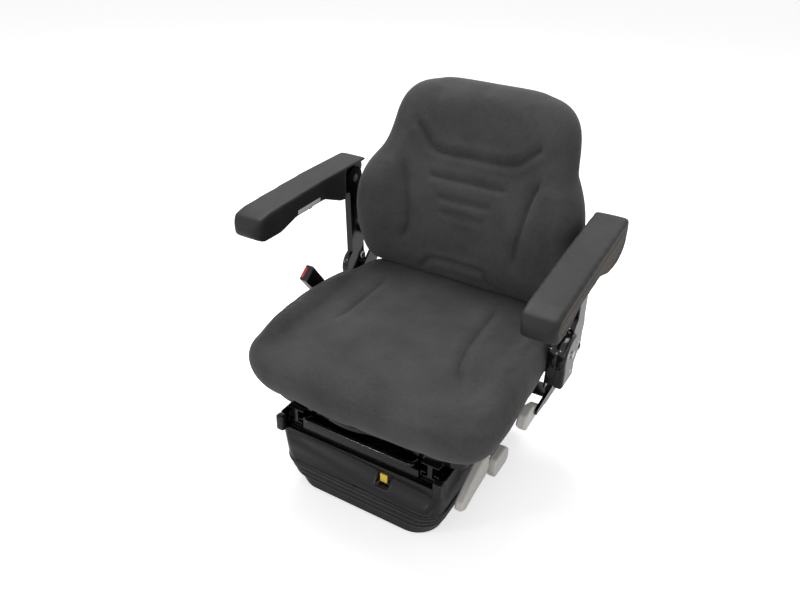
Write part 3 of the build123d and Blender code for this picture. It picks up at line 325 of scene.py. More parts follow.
@dataclass(frozen=True)
class BareMetal:
    """Turned, brushed or plated metal."""

    name: str
    colour: Point3
    roughness: float
    stretch: Point3 = (1.0, 18.0, 18.0)

    def make(self) -> bpy.types.Material:
        """Build the material.

        Returns:
            The material.
        """
        sheet = NodeSheet(self.name)
        mapping = sheet.add("Mapping", {"Vector": sheet.place, "Scale": self.stretch})
        streaks = sheet.noise(160, 4.0, 0.6, mapping.outputs["Vector"])
        dull = tuple(0.72 * c for c in self.colour)
        colour = sheet.ramp(streaks, 0.3, 0.75, dull, self.colour)
        rough = sheet.spread(streaks, self.roughness - 0.06, self.roughness + 0.1)
        return sheet.finish(colour, rough, sheet.bump(streaks, 0.08, 0.0001), Metallic=1.0)


class Finishes:
    """Every material of the seat, made once."""

    def __init__(self) -> None:
        """Build all the materials."""
        skin = MouldedSkin
        self.cloth = WovenCover().make()
        self.foam = skin("armrest_foam", (0.014, 0.0135, 0.013), (0.023, 0.022, 0.0215),
                         Grain.LEATHER, 0.5).make()
        self.side_foam = skin("armrest_side", (0.055, 0.047, 0.040), (0.125, 0.110, 0.096),
                              Grain.ROUGH, 0.75).make()
        self.plastic = skin("black_cover_plastic", (0.004, 0.004, 0.0042), (0.0075, 0.0075, 0.008),
                            Grain.SMOOTH, 0.33, 0.32).make()
        self.gloss = skin("gloss_housing", (0.003, 0.003, 0.003), (0.006, 0.006, 0.006),
                          Grain.SMOOTH, 0.15, 0.42).make()
        self.rubber = skin("bellows_rubber", (0.0035, 0.0035, 0.0037), (0.007, 0.007, 0.0075),
                           Grain.SMOOTH, 0.33, 0.3).make()
        self.grip = skin("grey_grip", (0.56, 0.54, 0.51), (0.63, 0.61, 0.58), Grain.SATIN, 0.42).make()
        self.strip = skin("arm_strip", (0.52, 0.52, 0.52), (0.62, 0.62, 0.62), Grain.SATIN, 0.4).make()
        self.yellow = skin("indicator_yellow", (0.74, 0.50, 0.05), (0.84, 0.60, 0.09),
                           Grain.SMOOTH, 0.3).make()
        self.red = skin("button_red", (0.55, 0.03, 0.025), (0.68, 0.05, 0.04), Grain.SMOOTH, 0.3, 0.5).make()
        self.webbing = skin("belt_webbing", (0.008, 0.008, 0.009), (0.022, 0.022, 0.023),
                            Grain.ROUGH, 0.7).make()
        self.nylon = skin("slide_nylon", (0.55, 0.54, 0.50), (0.66, 0.65, 0.62), Grain.SATIN, 0.5).make()
        self.enamel = PaintedSteel().make()
        self.motor = PaintedSteel("motor_paint", (0.07, 0.07, 0.07), (0.13, 0.13, 0.13), 0.5).make()
        self.steel = BareMetal("bright_steel", (0.62, 0.62, 0.63), 0.28).make()
        self.chrome = BareMetal("screw_chrome", (0.86, 0.86, 0.87), 0.14).make()

    def by_slot(self) -> dict[str, bpy.types.Material]:
        """The record's slot names and their materials."""
        return {
            "black_steel": self.enamel, "bright_steel": self.steel, "seat_fabric": self.cloth,
            "arm_foam": self.foam, "black_plastic": self.plastic, "housing_black": self.gloss,
            "black_rubber": self.rubber, "grip_grey": self.grip, "indicator_yellow": self.yellow,
            "button_red": self.red, "webbing_black": self.webbing, "slide_white": self.nylon,
            "motor_grey": self.motor,
        }


# Mesh tools


def drop_selection() -> None:
    """Leave object mode with nothing selected."""
    if bpy.context.object is not None and bpy.context.object.mode != "OBJECT":
        bpy.ops.object.mode_set(mode="OBJECT")
    bpy.ops.object.select_all(action="DESELECT")


def make_active(obj: bpy.types.Object) -> None:
    """Select one object alone and make it the active one.

    Args:
        obj: the object.
    """
    drop_selection()
    obj.select_set(True)
    bpy.context.view_layer.objects.active = obj


def apply_modifier(obj: bpy.types.Object, kind: str, **settings: object) -> None:
    """Add a modifier, set it and apply it.

    Args:
        obj: the piece.
        kind: the modifier's type.
        **settings: its attributes.
    """
    make_active(obj)
    modifier = obj.modifiers.new(kind.lower(), kind)
    for key, value in settings.items():
        setattr(modifier, key, value)
    bpy.ops.object.modifier_apply(modifier=modifier.name)


def read_points(obj: bpy.types.Object) -> np.ndarray:
    """The mesh's vertices.

    Args:
        obj: the piece.

    Returns:
        Rows of x, y, z.
    """
    flat = np.empty(len(obj.data.vertices) * 3)
    obj.data.vertices.foreach_get("co", flat)
    return flat.reshape(-1, 3)


def write_points(obj: bpy.types.Object, points: np.ndarray) -> None:
    """Put rows of x, y, z back into the mesh."""
    obj.data.vertices.foreach_set("co", points.ravel())
    obj.data.update()


def read_normals(obj: bpy.types.Object) -> np.ndarray:
    """The mesh's vertex normals.

    Args:
        obj: the piece.

    Returns:
        Rows of x, y, z.
    """
    flat = np.empty(len(obj.data.vertices) * 3)
    obj.data.vertex_normals.foreach_get("vector", flat)
    return flat.reshape(-1, 3)


def copy_of(title: str, *nodes: str) -> bpy.types.Object:
    """One welded mesh from the meshes of CAD nodes, as the start of a new piece.

    Args:
        title: the new piece's name.
        *nodes: the nodes whose shape it starts from.

    Returns:
        The new object.
    """
    joined = bmesh.new()
    for name in nodes:
        joined.from_mesh(frame["nodes"][name].data)
    bmesh.ops.remove_doubles(joined, verts=joined.verts, dist=WELD_GAP)
    bmesh.ops.recalc_face_normals(joined, faces=joined.faces)
    mesh = bpy.data.meshes.new(title)
    joined.to_mesh(mesh)
    joined.free()
    obj = bpy.data.objects.new(title, mesh)
    bpy.context.scene.collection.objects.link(obj)
    return obj


def distance_to_path(points: np.ndarray, path: Sequence[Point2]) -> tuple[np.ndarray, np.ndarray]:
    """How far flat points are from an open path.

    Args:
        points: rows of two coordinates.
        path: the path's corners.

    Returns:
        The distances, and how far along the path (0 to 1) the nearest places are.
    """
    corners = np.array(path)
    spans = np.linalg.norm(np.diff(corners, axis=0), axis=1)
    total = spans.sum()
    best = np.full(len(points), 1e9)
    along = np.zeros(len(points))
    start = 0.0
    for a, b, span in zip(corners[:-1], corners[1:], spans):
        t = np.clip(((points - a) @ (b - a)) / span ** 2, 0, 1)
        gap = np.linalg.norm(points - (a + t[:, None] * (b - a)), axis=1)
        closer = gap < best
        best = np.where(closer, gap, best)
        along = np.where(closer, (start + t * span) / total, along)
        start += span
    return best, along


def rounded_path(path: Sequence[Point2], rounds: int) -> list[Point2]:
    """An open path with its corners cut.

    Args:
        path: the path's corners.
        rounds: how many times to cut them.

    Returns:
        The new path.
    """
    points = np.array(path, dtype=float)
    for _ in range(rounds):
        near = (1 - CORNER_CUT) * points[:-1] + CORNER_CUT * points[1:]
        far = CORNER_CUT * points[:-1] + (1 - CORNER_CUT) * points[1:]
        cut = np.empty((2 * len(near), 2))
        cut[0::2], cut[1::2] = near, far
        points = np.vstack([points[:1], cut, points[-1:]])
    return [tuple(p) for p in points]


def within(points: np.ndarray, loop: Sequence[Point2]) -> np.ndarray:
    """Which flat points lie inside a closed loop.

    Args:
        points: rows of two coordinates.
        loop: the loop's corners.

    Returns:
        True for each point that is inside.
    """
    inside = np.zeros(len(points), dtype=bool)
    for (ax, ay), (bx, by) in zip(loop[:-1], loop[1:]):
        if ay == by:
            continue
        crosses = (ay > points[:, 1]) != (by > points[:, 1])
        inside ^= crosses & (points[:, 0] < ax + (points[:, 1] - ay) * (bx - ax) / (by - ay))
    return inside


def step_between(value: np.ndarray, low: float, high: float) -> np.ndarray:
    """A smooth rise from 0 at low to 1 at high."""
    t = np.clip((value - low) / (high - low), 0, 1)
    return t * t * (3 - 2 * t)


@dataclass(frozen=True)
class Groove:
    """A sewn channel on a cushion's face: a tight crease in a soft valley."""

    path: tuple[Point2, ...]
    depth: float
    width: float = 0.0048
    fade: float = 0.05
    lip: float = 0.3
    cut_corners: int = 1

    def push(self, points: np.ndarray) -> np.ndarray:
        """How far each flat point goes in.

        Args:
            points: rows of two coordinates on the cushion's face.

        Returns:
            The depth at each point, negative where the cover stands proud beside the channel.
        """
        path = rounded_path(self.path, self.cut_corners)
        gap, along = distance_to_path(points, path)
        ends = step_between(along, -0.01, self.fade) * step_between(1 - along, -0.01, self.fade)
        crease = np.exp(-(gap / (CREASE_REACH * self.width)) ** 2)
        valley = np.exp(-(gap / (VALLEY_REACH * self.width)) ** 2)
        shoulder = np.exp(-((gap - SHOULDER_PLACE * self.width) / (SHOULDER_REACH * self.width)) ** 2)
        return ends * self.depth * (CREASE_SHARE * crease + VALLEY_SHARE * valley - self.lip * shoulder)


def swell(obj: bpy.types.Object, voxel: float, start_inside: float, cap: float,
          regain: float = 0.0045) -> None:
    """Fill a form like foam under a tight cover: remesh, blow up with cloth, and keep the result.

    Args:
        obj: the form.
        voxel: the remesh size.
        start_inside: how far the form is drawn in before it fills.
        cap: how far a point may move.
        regain: what the tight cover's pull is made up by, outwards.
    """
    apply_modifier(obj, "REMESH", mode="VOXEL", voxel_size=voxel)
    apply_modifier(obj, "SMOOTH", factor=0.5, iterations=10)
    write_points(obj, read_points(obj) - start_inside * read_normals(obj))
    scene = bpy.context.scene
    cloth = obj.modifiers.new("filling", "CLOTH")
    cloth.settings.use_pressure = True
    cloth.settings.uniform_pressure_force = CLOTH_PRESSURE
    cloth.settings.effector_weights.gravity = 0
    cloth.settings.quality = 4
    cloth.settings.mass = 0.3
    before = read_points(obj)
    for number in range(1, CLOTH_FRAMES + 1):
        scene.frame_set(number)
    after = read_points(obj.evaluated_get(bpy.context.evaluated_depsgraph_get()))
    move = after - before
    length = np.linalg.norm(move, axis=1, keepdims=True)
    move *= np.minimum(1.0, cap / np.maximum(length, 1e-9))
    obj.modifiers.remove(cloth)
    scene.frame_set(1)
    write_points(obj, before + move)
    write_points(obj, read_points(obj) + regain * read_normals(obj))
    apply_modifier(obj, "SMOOTH", factor=0.5, iterations=3)
    apply_modifier(obj, "SUBSURF", levels=1, render_levels=1)


def dress(obj: bpy.types.Object, material: bpy.types.Material, body: str) -> None:
    """Give a new piece its material and body.

    Args:
        obj: the piece.
        material: its finish.
        body: the CAD body that it moves with.
    """
    obj.data.materials.clear()
    obj.data.materials.append(material)
    for polygon in obj.data.polygons:
        polygon.use_smooth = True
    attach(obj, body)
    LOG.info("piece %s: %d faces on %s", obj.name, len(obj.data.polygons), body)


# Cushions


def sew(obj: bpy.types.Object, grooves: Sequence[Groove], axes: Sequence[int], facing: np.ndarray,
        share: np.ndarray) -> None:
    """Press sewn channels into one side of a pad.

    Args:
        obj: the pad.
        grooves: its channels.
        axes: the two coordinates that the channels' paths are given in.
        facing: the direction that the side faces.
        share: how much of each channel shows at each point.
    """
    points, normals = read_points(obj), read_normals(obj)
    turned = step_between(normals @ facing, *FACING_BAND) * share
    push = sum(groove.push(points[:, axes]) for groove in grooves) * turned
    write_points(obj, points - normals * push[:, None])


@dataclass
class SeatCushion:
    """The seat cushion: a moulded pad with side bolsters, two channels and a crease round its front."""

    voxel: float = 0.0045
    start_inside: float = 0.002
    cap: float = 0.0035
    half_width: float = 0.2640
    buckle_room: float = 0.0082
    buckle_band: Point2 = (0.02, 0.07)
    front_band: Point2 = (0.150, 0.215)
    crease_band: Point2 = (0.12, 0.17)
    grooves: tuple[Groove, ...] = (
        Groove(((-0.148, 0.151), (-0.136, 0.106), (-0.137, 0.041), (-0.138, -0.025), (-0.149, -0.089)),
               0.0052, 0.0062, 0.3, 0.3, 2),
        Groove(((0.118, 0.154), (0.120, 0.071), (0.124, -0.012), (0.138, -0.078), (0.179, -0.138)),
               0.0064, 0.0062, 0.22, 0.3, 1),
    )
    front_shift: tuple[Point2, ...] = (
        (-0.22, 0.0), (-0.15, -0.0010), (-0.10, -0.0022), (-0.06, -0.0004), (-0.03, 0.0), (-0.015, -0.0018),
        (0.0, -0.0045), (0.03, -0.0092), (0.06, -0.0090), (0.10, -0.0048), (0.15, 0.0005), (0.22, 0.0))
    crease: tuple[Point2, ...] = (
        (-0.225, 0.276), (-0.117, 0.289), (-0.022, 0.296), (0.079, 0.305), (0.157, 0.312), (0.213, 0.306))

    def build(self) -> bpy.types.Object:
        """Returns:
            The cushion's object.
        """
        obj = copy_of("seat_cushion_cover", "seat_cushion")
        apply_modifier(obj, "REMESH", mode="VOXEL", voxel_size=self.voxel)
        self.even_front(obj)
        swell(obj, self.voxel, self.start_inside, self.cap)
        points = read_points(obj)
        sew(obj, self.grooves, (0, 1), np.array([0, 0, 1.0]), np.ones(len(points)))
        lip = Groove(self.crease, depth=0.0009, width=0.005, fade=0.2, lip=0.3, cut_corners=2)
        share = step_between(-points[:, 1], *self.crease_band)
        sew(obj, (lip,), (0, 2), np.array([0, -0.9, 0.2]), share)
        self.clear_buckle(obj)
        dress(obj, FINISH.cloth, "seat")
        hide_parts("seat_cushion")
        return obj

    def clear_buckle(self, obj: bpy.types.Object) -> None:
        """Hold the pad's sides in where the belt's buckle swings past.

        Args:
            obj: the pad.
        """
        points = read_points(obj)
        room = self.half_width - self.buckle_room * step_between(points[:, 1], *self.buckle_band)
        points[:, 0] = np.clip(points[:, 0], -room, room)
        write_points(obj, points)

    def even_front(self, obj: bpy.types.Object) -> None:
        """Bring the pad's front to one even curve from side to side.

        Args:
            obj: the pad.
        """
        points = read_points(obj)
        places, shifts = np.array(self.front_shift).T
        front = step_between(-points[:, 1], *self.front_band)
        points[:, 1] += np.interp(points[:, 0], places, shifts) * front
        write_points(obj, points)
        apply_modifier(obj, "SMOOTH", factor=0.5, iterations=4)


@dataclass
class BackCushion:
    """The backrest cushion: side wings, a lumbar roll and sewn channels."""

    voxel: float = 0.0045
    start_inside: float = 0.002
    cap: float = 0.0035
    grooves: tuple[Groove, ...] = (
        Groove(((-0.130, 0.654), (-0.087, 0.604), (0.092, 0.607), (0.139, 0.649)), 0.0078, 0.0050, 0.03),
        Groove(((-0.089, 0.559), (0.090, 0.560)), 0.0066, 0.0046, 0.08),
        Groove(((-0.064, 0.521), (0.063, 0.521)), 0.0060, 0.0044, 0.10),
        Groove(((-0.053, 0.490), (0.052, 0.488)), 0.0056, 0.0044, 0.12),
        Groove(((-0.085, 0.345), (-0.083, 0.358), (-0.062, 0.381), (0.062, 0.382), (0.071, 0.360),
                (0.085, 0.345)), 0.0058, 0.0046, 0.03),
        Groove(((-0.144, 0.586), (-0.123, 0.497), (-0.119, 0.444), (-0.134, 0.400)), 0.0072, 0.0060, 0.16),
        Groove(((0.153, 0.601), (0.139, 0.561), (0.123, 0.455), (0.125, 0.404)), 0.0082, 0.0064, 0.14),
    )

    def build(self) -> bpy.types.Object:
        """Returns:
            The cushion's object.
        """
        obj = copy_of("back_cushion_cover", "back_cushion")
        swell(obj, self.voxel, self.start_inside, self.cap)
        sew(obj, self.grooves, (0, 2), np.array([0, -1.0, 0]), np.ones(len(obj.data.vertices)))
        dress(obj, FINISH.cloth, "backrest")
        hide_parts("back_cushion")
        return obj


# Armrests


@dataclass
class Armrest:
    """One armrest: a soft moulded pad over its core, with a panel let into its outer side."""

    side: str
    sign: float
    tilt: float
    pivot: Point2 = (0.185, 0.515)
    voxel: float = 0.0028
    smoothing: int = 34
    outer_band: Point2 = (0.5, 0.8)
    panel_facing: float = 0.6
    strip_size: Point3 = (0.0024, 0.074, 0.0095)
    strip_edge: float = 0.0006
    strip_x: float = 0.2578
    strip_along: float = -0.168
    panel: tuple[Point2, ...] = (
        (-0.300, 0.018), (-0.120, 0.020), (0.030, 0.018), (0.040, -0.004), (0.012, -0.028), (-0.050, -0.024),
        (-0.110, 0.000), (-0.200, 0.000), (-0.255, -0.010), (-0.300, -0.008), (-0.310, 0.006),
        (-0.300, 0.018))

    def build(self) -> bpy.types.Object:
        """Returns:
            The armrest's object.
        """
        name = f"{self.side}_armrest"
        obj = copy_of(f"{name}_skin", f"{name}_pad", f"{name}_shell")
        apply_modifier(obj, "REMESH", mode="VOXEL", voxel_size=self.voxel)
        apply_modifier(obj, "SMOOTH", factor=0.5, iterations=self.smoothing)
        apply_modifier(obj, "SUBSURF", levels=1, render_levels=1)
        local = self.local(read_points(obj))
        normals = read_normals(obj)
        outer = step_between(self.sign * normals[:, 0], *self.outer_band)
        seam = Groove(self.panel, depth=0.0014, width=0.0022, fade=0.0, lip=0.2, cut_corners=1)
        push = seam.push(local) * outer
        write_points(obj, read_points(obj) - normals * push[:, None])
        dress(obj, FINISH.foam, name)
        if self.sign > 0:
            self.face_panel(obj)
        else:
            self.blank_strip()
        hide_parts(f"{name}_pad", f"{name}_shell")
        return obj

    def blank_strip(self) -> bpy.types.Object:
        """Let a thin bare strip into the arm's inner side, behind the full front end.

        Returns:
            The strip's object.
        """
        t = math.radians(self.tilt)
        drop_selection()
        bpy.ops.mesh.primitive_cube_add(size=1.0)
        obj = bpy.context.object
        obj.name = obj.data.name = "arm_strip"
        obj.data.transform(Matrix.Diagonal((*self.strip_size, 1.0)))
        apply_modifier(obj, "BEVEL", width=self.strip_edge, segments=2)
        place = Vector((self.sign * self.strip_x, self.pivot[0] + self.strip_along * math.cos(t),
                        self.pivot[1] + self.strip_along * math.sin(t)))
        obj.data.transform(Matrix.Translation(place) @ Matrix.Rotation(t, 4, "X"))
        dress(obj, FINISH.strip, f"{self.side}_armrest")
        return obj

    def local(self, points: np.ndarray) -> np.ndarray:
        """Each point's place along and above the arm, about its pivot.

        Args:
            points: rows of x, y, z.

        Returns:
            Rows of two coordinates.
        """
        t = math.radians(self.tilt)
        y, z = points[:, 1] - self.pivot[0], points[:, 2] - self.pivot[1]
        return np.stack([y * math.cos(t) + z * math.sin(t), z * math.cos(t) - y * math.sin(t)], axis=1)

    def face_panel(self, obj: bpy.types.Object) -> None:
        """Give the faces inside the panel's seam their own finish.

        Args:
            obj: the armrest.
        """
        obj.data.materials.append(FINISH.side_foam)
        centres = np.empty(len(obj.data.polygons) * 3)
        facing = np.empty(len(obj.data.polygons) * 3)
        obj.data.polygons.foreach_get("center", centres)
        obj.data.polygons.foreach_get("normal", facing)
        places = self.local(centres.reshape(-1, 3))
        outward = self.sign * facing.reshape(-1, 3)[:, 0] > self.panel_facing
        inside = outward & within(places, rounded_path(self.panel, 1))
        obj.data.polygons.foreach_set("material_index", inside.astype(np.int32))


# Studio


@dataclass(frozen=True)
class PhotoCamera:
    """The camera, from the photograph's perspective."""

    azimuth: float = 29.6
    elevation: float = 31.0
    roll: float = 1.64
    distance: float = 1.473
    target: Point3 = (-0.037, 0.006, 0.369)
    lens: float = 33.84

    def place(self) -> bpy.types.Object:
        """Create the camera and make it the scene's.

        Returns:
            The camera.
        """
        a, e, r = (math.radians(v) for v in (self.azimuth, self.elevation, self.roll))
        back = Vector((math.sin(a) * math.cos(e), -math.cos(a) * math.cos(e), math.sin(e)))
        right = Vector((math.cos(a), math.sin(a), 0))
        up = back.cross(right)
        right, up = math.cos(r) * right + math.sin(r) * up, math.cos(r) * up - math.sin(r) * right
        data = bpy.data.cameras.new("photo_camera")
        data.lens = self.lens
        data.sensor_width = 36.0
        data.dof.use_dof = False
        camera = bpy.data.objects.new("photo_camera", data)
        bpy.context.scene.collection.objects.link(camera)
        turn = Matrix((right, up, back)).transposed().to_4x4()
        camera.matrix_world = Matrix.Translation(Vector(self.target) + self.distance * back) @ turn
        bpy.context.scene.camera = camera
        return camera


@dataclass(frozen=True)
class Studio:
    """A white floor, a white surround and soft lamps."""

    floor_size: float = 60.0
    world: float = 0.44
    key: float = 58.0
    fill: float = 5.0
    spark: float = 4.0
    glow: float = 0.53
    aim: Point3 = (0.0, 0.0, 0.4)
    sparks: tuple[Point3, ...] = ((-0.9, -1.9, 1.5), (0.5, -2.3, 0.9), (2.1, -0.6, 1.7), (1.6, -1.9, 2.4))

    def build(self) -> None:
        """Lay the floor and hang the lamps."""
        drop_selection()
        bpy.ops.mesh.primitive_plane_add(size=self.floor_size)
        floor = bpy.context.object
        floor.name = "studio_floor"
        floor.data.materials.append(self.floor_material())
        self.lamp("key_lamp", (-0.8, 0.9, 2.9), 1.6, self.key)
        self.lamp("fill_lamp", (1.9, -2.4, 1.6), 2.2, self.fill)
        self.lamp("low_lamp", (-1.5, -1.7, 0.75), 0.5, 0.7 * self.fill)
        self.lamp("rim_lamp", (0.6, 2.4, 2.2), 1.6, self.fill)
        for number, place in enumerate(self.sparks):
            self.lamp(f"spark_lamp_{number}", place, 0.06, self.spark)
        self.surround()

    def floor_material(self) -> bpy.types.Material:
        """A white floor that keeps the shadow.

        Returns:
            The floor's material.
        """
        material = bpy.data.materials.new("studio_white")
        material.use_nodes = True
        tree = material.node_tree
        shader = tree.nodes["Principled BSDF"]
        shader.inputs["Base Color"].default_value = (0.9, 0.9, 0.9, 1)
        shader.inputs["Roughness"].default_value = 0.9
        shader.inputs["Specular IOR Level"].default_value = 0.1
        paths = tree.nodes.new("ShaderNodeLightPath")
        glow = tree.nodes.new("ShaderNodeMath")
        glow.operation = "MULTIPLY"
        glow.inputs[1].default_value = self.glow
        tree.links.new(paths.outputs["Is Camera Ray"], glow.inputs[0])
        shader.inputs["Emission Color"].default_value = (1, 1, 1, 1)
        tree.links.new(glow.outputs[0], shader.inputs["Emission Strength"])
        return material

    def surround(self) -> None:
        """White for the camera, a softer white for the object."""
        world = bpy.data.worlds.new("studio_surround")
        world.use_nodes = True
        bpy.context.scene.world = world
        tree = world.node_tree
        background = tree.nodes["Background"]
        background.inputs["Color"].default_value = (1, 1, 1, 1)
        paths = tree.nodes.new("ShaderNodeLightPath")
        seen = paths.outputs["Is Camera Ray"]
        for ray in ("Is Glossy Ray", "Is Transmission Ray"):
            either = tree.nodes.new("ShaderNodeMath")
            either.operation = "MAXIMUM"
            tree.links.new(seen, either.inputs[0])
            tree.links.new(paths.outputs[ray], either.inputs[1])
            seen = either.outputs[0]
        level = tree.nodes.new("ShaderNodeMapRange")
        level.inputs["To Min"].default_value = self.world
        level.inputs["To Max"].default_value = 1.0
        tree.links.new(seen, level.inputs["Value"])
        tree.links.new(level.outputs["Result"], background.inputs["Strength"])

    def lamp(self, name: str, place: Point3, size: float, power: float) -> None:
        """Hang one square lamp that faces the seat.

        Args:
            name: the lamp's name.
            place: where it hangs.
            size: its width.
            power: its power in watts.
        """
        data = bpy.data.lights.new(name, "AREA")
        data.size = size
        data.energy = power
        lamp = bpy.data.objects.new(name, data)
        bpy.context.scene.collection.objects.link(lamp)
        aim = Vector(self.aim) - Vector(place)
        lamp.location = place
        lamp.rotation_euler = aim.to_track_quat("-Z", "Y").to_euler()


SOFT_EDGES = {
    "upper_frame": 0.0012, "upper_tracks": 0.0008, "base_frame": 0.001, "left_lower_rail": 0.0007,
    "right_lower_rail": 0.0007, "left_upper_rail": 0.0007, "right_upper_rail": 0.0007, "seat_pan": 0.001,
    "left_side_plate": 0.001, "right_side_plate": 0.001, "left_arm_support": 0.0012,
    "right_arm_support": 0.0012, "belt_retractor": 0.0012, "retractor_cover": 0.0012, "buckle_body": 0.002,
    "buckle_button": 0.001, "weight_lever_grip": 0.0025, "height_lever_grip": 0.0025,
    "recline_lever_grip": 0.0025, "back_frame": 0.001, "back_shell": 0.0012, "height_indicator": 0.0006,
    "weight_lever_arm": 0.0008, "height_lever_arm": 0.0008, "recline_lever_arm": 0.0008,
    "buckle_stalk": 0.0008,
}


def dress_nodes() -> None:
    """Give every CAD node that stays the finish of its record slot, and the edges that the real piece has."""
    slots = {row["node"]: row["material_slot"] for row in frame["record"]["subparts"]}
    materials = FINISH.by_slot()
    for name, node in frame["nodes"].items():
        for place in node.material_slots:
            place.material = materials[slots[name]]
        if name in SOFT_EDGES:
            weld = node.modifiers.new("weld", "WELD")
            weld.merge_threshold = WELD_GAP
            bevel = node.modifiers.new("edges", "BEVEL")
            bevel.width = SOFT_EDGES[name]
            bevel.segments = 2
            bevel.limit_method = "ANGLE"
            bevel.angle_limit = math.radians(32)


@dataclass(frozen=True)
class Boot:
    """The soft cover above the bellows, drawn in under its lip and full along a slanting roll."""

    longest_edge: float = 0.009
    passes: int = 7
    front: float = -0.214
    lean: float = 0.009
    foot: float = 0.073
    height: float = 0.097
    roll: tuple[Point2, ...] = (
        (-0.190, 0.124), (-0.110, 0.118), (-0.020, 0.106), (0.070, 0.096), (0.190, 0.090))
    roll_out: float = 0.0070
    roll_below: float = 0.024
    roll_above: float = 0.013
    draw_in: float = 0.0060
    draw_up: float = 0.027
    face_band: Point2 = (0.0035, 0.008)
    side_band: Point2 = (0.150, 0.172)
    top_band: Point2 = (0.132, 0.145)
    foot_band: Point2 = (0.074, 0.082)

    def build(self) -> bpy.types.Object:
        """Returns:
            The cover's object.
        """
        obj = copy_of("boot_skin", "suspension_cover")
        net = bmesh.new()
        net.from_mesh(obj.data)
        for _ in range(self.passes):
            long_edges = [edge for edge in net.edges if edge.calc_length() > self.longest_edge]
            if not long_edges:
                break
            bmesh.ops.subdivide_edges(net, edges=long_edges, cuts=1)
            bmesh.ops.triangulate(net, faces=net.faces)
        net.to_mesh(obj.data)
        net.free()
        points = read_points(obj)
        x, y, z = points.T
        face = self.front + self.lean * (z - self.foot) / self.height
        near = 1 - step_between(y - face, *self.face_band)
        sides = 1 - step_between(np.abs(x), *self.side_band)
        path = rounded_path(self.roll, 3)
        rise = z - np.interp(x, [p[0] for p in path], [p[1] for p in path])
        roll = np.exp(-(rise / np.where(rise < 0, self.roll_below, self.roll_above)) ** 2)
        valley = np.exp(-((rise - self.draw_up) / self.roll_above) ** 2)
        valley *= 1 - step_between(z, *self.top_band)
        out = near * sides * (self.roll_out * roll - self.draw_in * valley)
        out *= step_between(z, *self.foot_band)
        points[:, 1] = y - out
        write_points(obj, points)
        dress(obj, FINISH.plastic, "upper")
        make_active(obj)
        bpy.ops.object.shade_smooth_by_angle(angle=math.radians(34))
        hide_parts("suspension_cover")
        return obj


@dataclass(frozen=True)
class Bellows:
    """The rubber bellows: a flared wall with full round folds under its top edge."""

    bottom: float = 0.0035
    top: float = 0.0728
    side: Point2 = (0.1565, 0.1755)
    front: Point2 = (-0.2000, -0.2130)
    rear: Point2 = (0.1960, 0.2090)
    corner: Point2 = (0.052, 0.038)
    pitch: float = 0.0145
    folds: int = 3
    fold_out: float = 0.0046
    wall: float = 0.0024
    rings: int = 72
    corner_steps: int = 12

    def ring(self, z: float) -> list[Point3]:
        """The wall's plan at a height.

        Args:
            z: the height.

        Returns:
            The plan's points, in order round the seat.
        """
        share = (z - self.bottom) / (self.top - self.bottom)
        low = self.top - self.folds * self.pitch
        out = 0.0
        if z > low:
            out = self.fold_out * math.sqrt(abs(math.sin(math.pi * (z - low) / self.pitch)))
        ends = (self.side, self.front, self.rear, self.corner)
        side, front, rear, radius = (a + (b - a) * share for a, b in ends)
        side, front, rear, radius = side + out, front - out, rear + out, radius + out
        points = []
        for cx, cy, start in ((side - radius, rear - radius, 0.0), (radius - side, rear - radius, 90.0),
                              (radius - side, front + radius, 180.0), (side - radius, front + radius, 270.0)):
            for i in range(self.corner_steps + 1):
                a = math.radians(start + 90.0 / self.corner_steps * i)
                points.append((cx + radius * math.cos(a), cy + radius * math.sin(a), z))
        return points

    def build(self) -> bpy.types.Object:
        """Returns:
            The bellows' object.
        """
        net = bmesh.new()
        rise = self.top - self.bottom
        heights = [self.bottom + rise * i / self.rings for i in range(self.rings + 1)]
        loops = [[net.verts.new(point) for point in self.ring(z)] for z in heights]
        size = len(loops[0])
        for low, high in zip(loops[:-1], loops[1:]):
            for i in range(size):
                net.faces.new((low[i], low[(i + 1) % size], high[(i + 1) % size], high[i]))
        mesh = bpy.data.meshes.new("bellows_skin")
        net.to_mesh(mesh)
        net.free()
        obj = bpy.data.objects.new("bellows_skin", mesh)
        bpy.context.scene.collection.objects.link(obj)
        apply_modifier(obj, "SOLIDIFY", thickness=self.wall, offset=-1.0)
        obj.data.materials.clear()
        obj.data.materials.append(FINISH.rubber)
        make_active(obj)
        bpy.ops.object.shade_smooth_by_angle(angle=math.radians(50))
        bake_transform(obj)
        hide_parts("bellows")
        LOG.info("piece %s: %d faces from base to upper", obj.name, len(obj.data.polygons))
        return obj


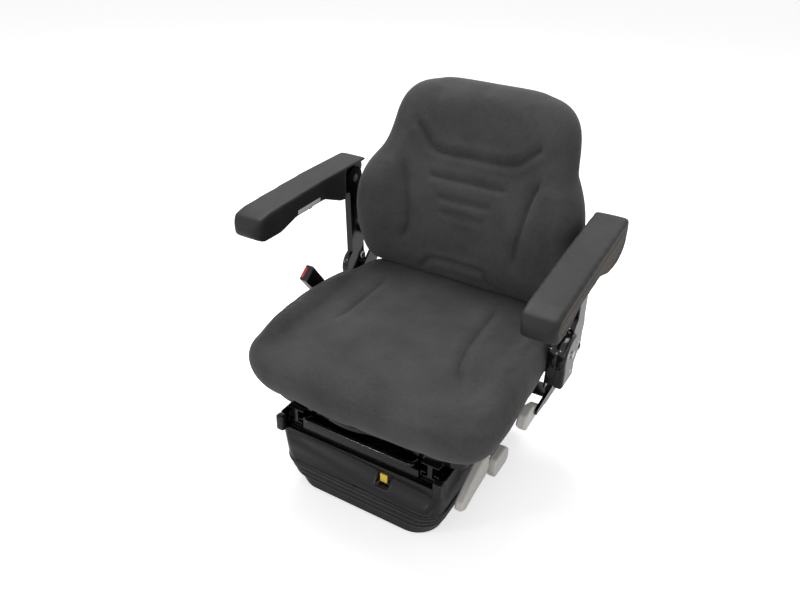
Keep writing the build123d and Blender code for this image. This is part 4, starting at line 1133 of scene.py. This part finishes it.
@dataclass(frozen=True)
class Screw:
    """A pan-head screw on a thin washer face, with a round recess in its crown."""

    name: str
    place: Point3
    facing: Point3
    radius: float
    body: str
    washer: Point2 = (1.5, 0.16)
    washer_rim: float = 0.5
    profile: tuple[Point2, ...] = ((0.42, 0.18), (0.14, 0.34), (-0.36, 0.04))

    def build(self, material: bpy.types.Material, slot: str) -> bpy.types.Object:
        """Args:
            material: its finish.
            slot: the record's slot that the finish belongs to; not used.

        Returns:
            The screw's object.
        """
        r = self.radius
        drop_selection()
        bpy.ops.mesh.primitive_cylinder_add(vertices=28, radius=self.washer[0] * r, depth=self.washer[1] * r)
        obj = bpy.context.object
        obj.name = obj.data.name = self.name
        bpy.ops.object.mode_set(mode="EDIT")
        self.pick_top(obj)
        bpy.ops.mesh.inset(thickness=self.washer_rim * r)
        for rise, drawn_in in self.profile:
            bpy.ops.mesh.extrude_region_move(TRANSFORM_OT_translate={"value": (0, 0, rise * r)})
            bpy.ops.mesh.inset(thickness=drawn_in * r)
        bpy.ops.object.mode_set(mode="OBJECT")
        turn = Vector(self.facing).to_track_quat("Z", "Y").to_matrix().to_4x4()
        obj.data.transform(Matrix.Translation(self.place) @ turn)
        dress(obj, material, self.body)
        make_active(obj)
        bpy.ops.object.shade_smooth_by_angle(angle=math.radians(40))
        return obj

    def pick_top(self, obj: bpy.types.Object) -> None:
        """Select the top face alone, in edit mode.

        Args:
            obj: the screw.
        """
        bpy.ops.mesh.select_mode(type="FACE")
        bpy.ops.mesh.select_all(action="DESELECT")
        net = bmesh.from_edit_mesh(obj.data)
        top = max(net.faces, key=lambda face: face.calc_center_median().z)
        top.select = True
        bmesh.update_edit_mesh(obj.data)


FINISH = Finishes()
COVER_SCREWS = ((0.058, 0.330), (0.110, 0.330), (0.084, 0.278))
COVER_SCREW_R = 0.0028
COVER_SCREW_SUNK = 0.0002
PIVOT_SCREW = (0.2741, 0.2, 0.262)
PIVOT_SCREW_R = 0.007


def fasteners() -> None:
    """Screw heads on the retractor's cover and the arms' pivots."""
    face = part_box("retractor_cover")[1][0] - COVER_SCREW_SUNK
    for number, (y, z) in enumerate(COVER_SCREWS):
        screw = Screw(f"cover_screw_{number}", (face, y, z), (1, 0, 0), COVER_SCREW_R, "seat")
        screw.build(FINISH.chrome, "bright_steel")
    x, y, z = PIVOT_SCREW
    for side, sign in (("left", -1), ("right", 1)):
        screw = Screw(f"{side}_pivot_screw", (sign * x, y, z), (sign, 0, 0), PIVOT_SCREW_R, "backrest")
        screw.build(FINISH.enamel, "black_steel")


def main() -> None:
    """Build the seat's pieces in order and report each."""
    logging.basicConfig(level=logging.INFO, format="%(name)s %(message)s")
    bpy.context.scene.view_settings.view_transform = "Standard"
    PhotoCamera().place()
    Studio().build()
    dress_nodes()
    SeatCushion().build()
    BackCushion().build()
    Boot().build()
    Bellows().build()
    fasteners()
    Armrest("left", -1.0, 1.5).build()
    Armrest("right", 1.0, 5.5).build()


if __name__ == "__main__":
    main()
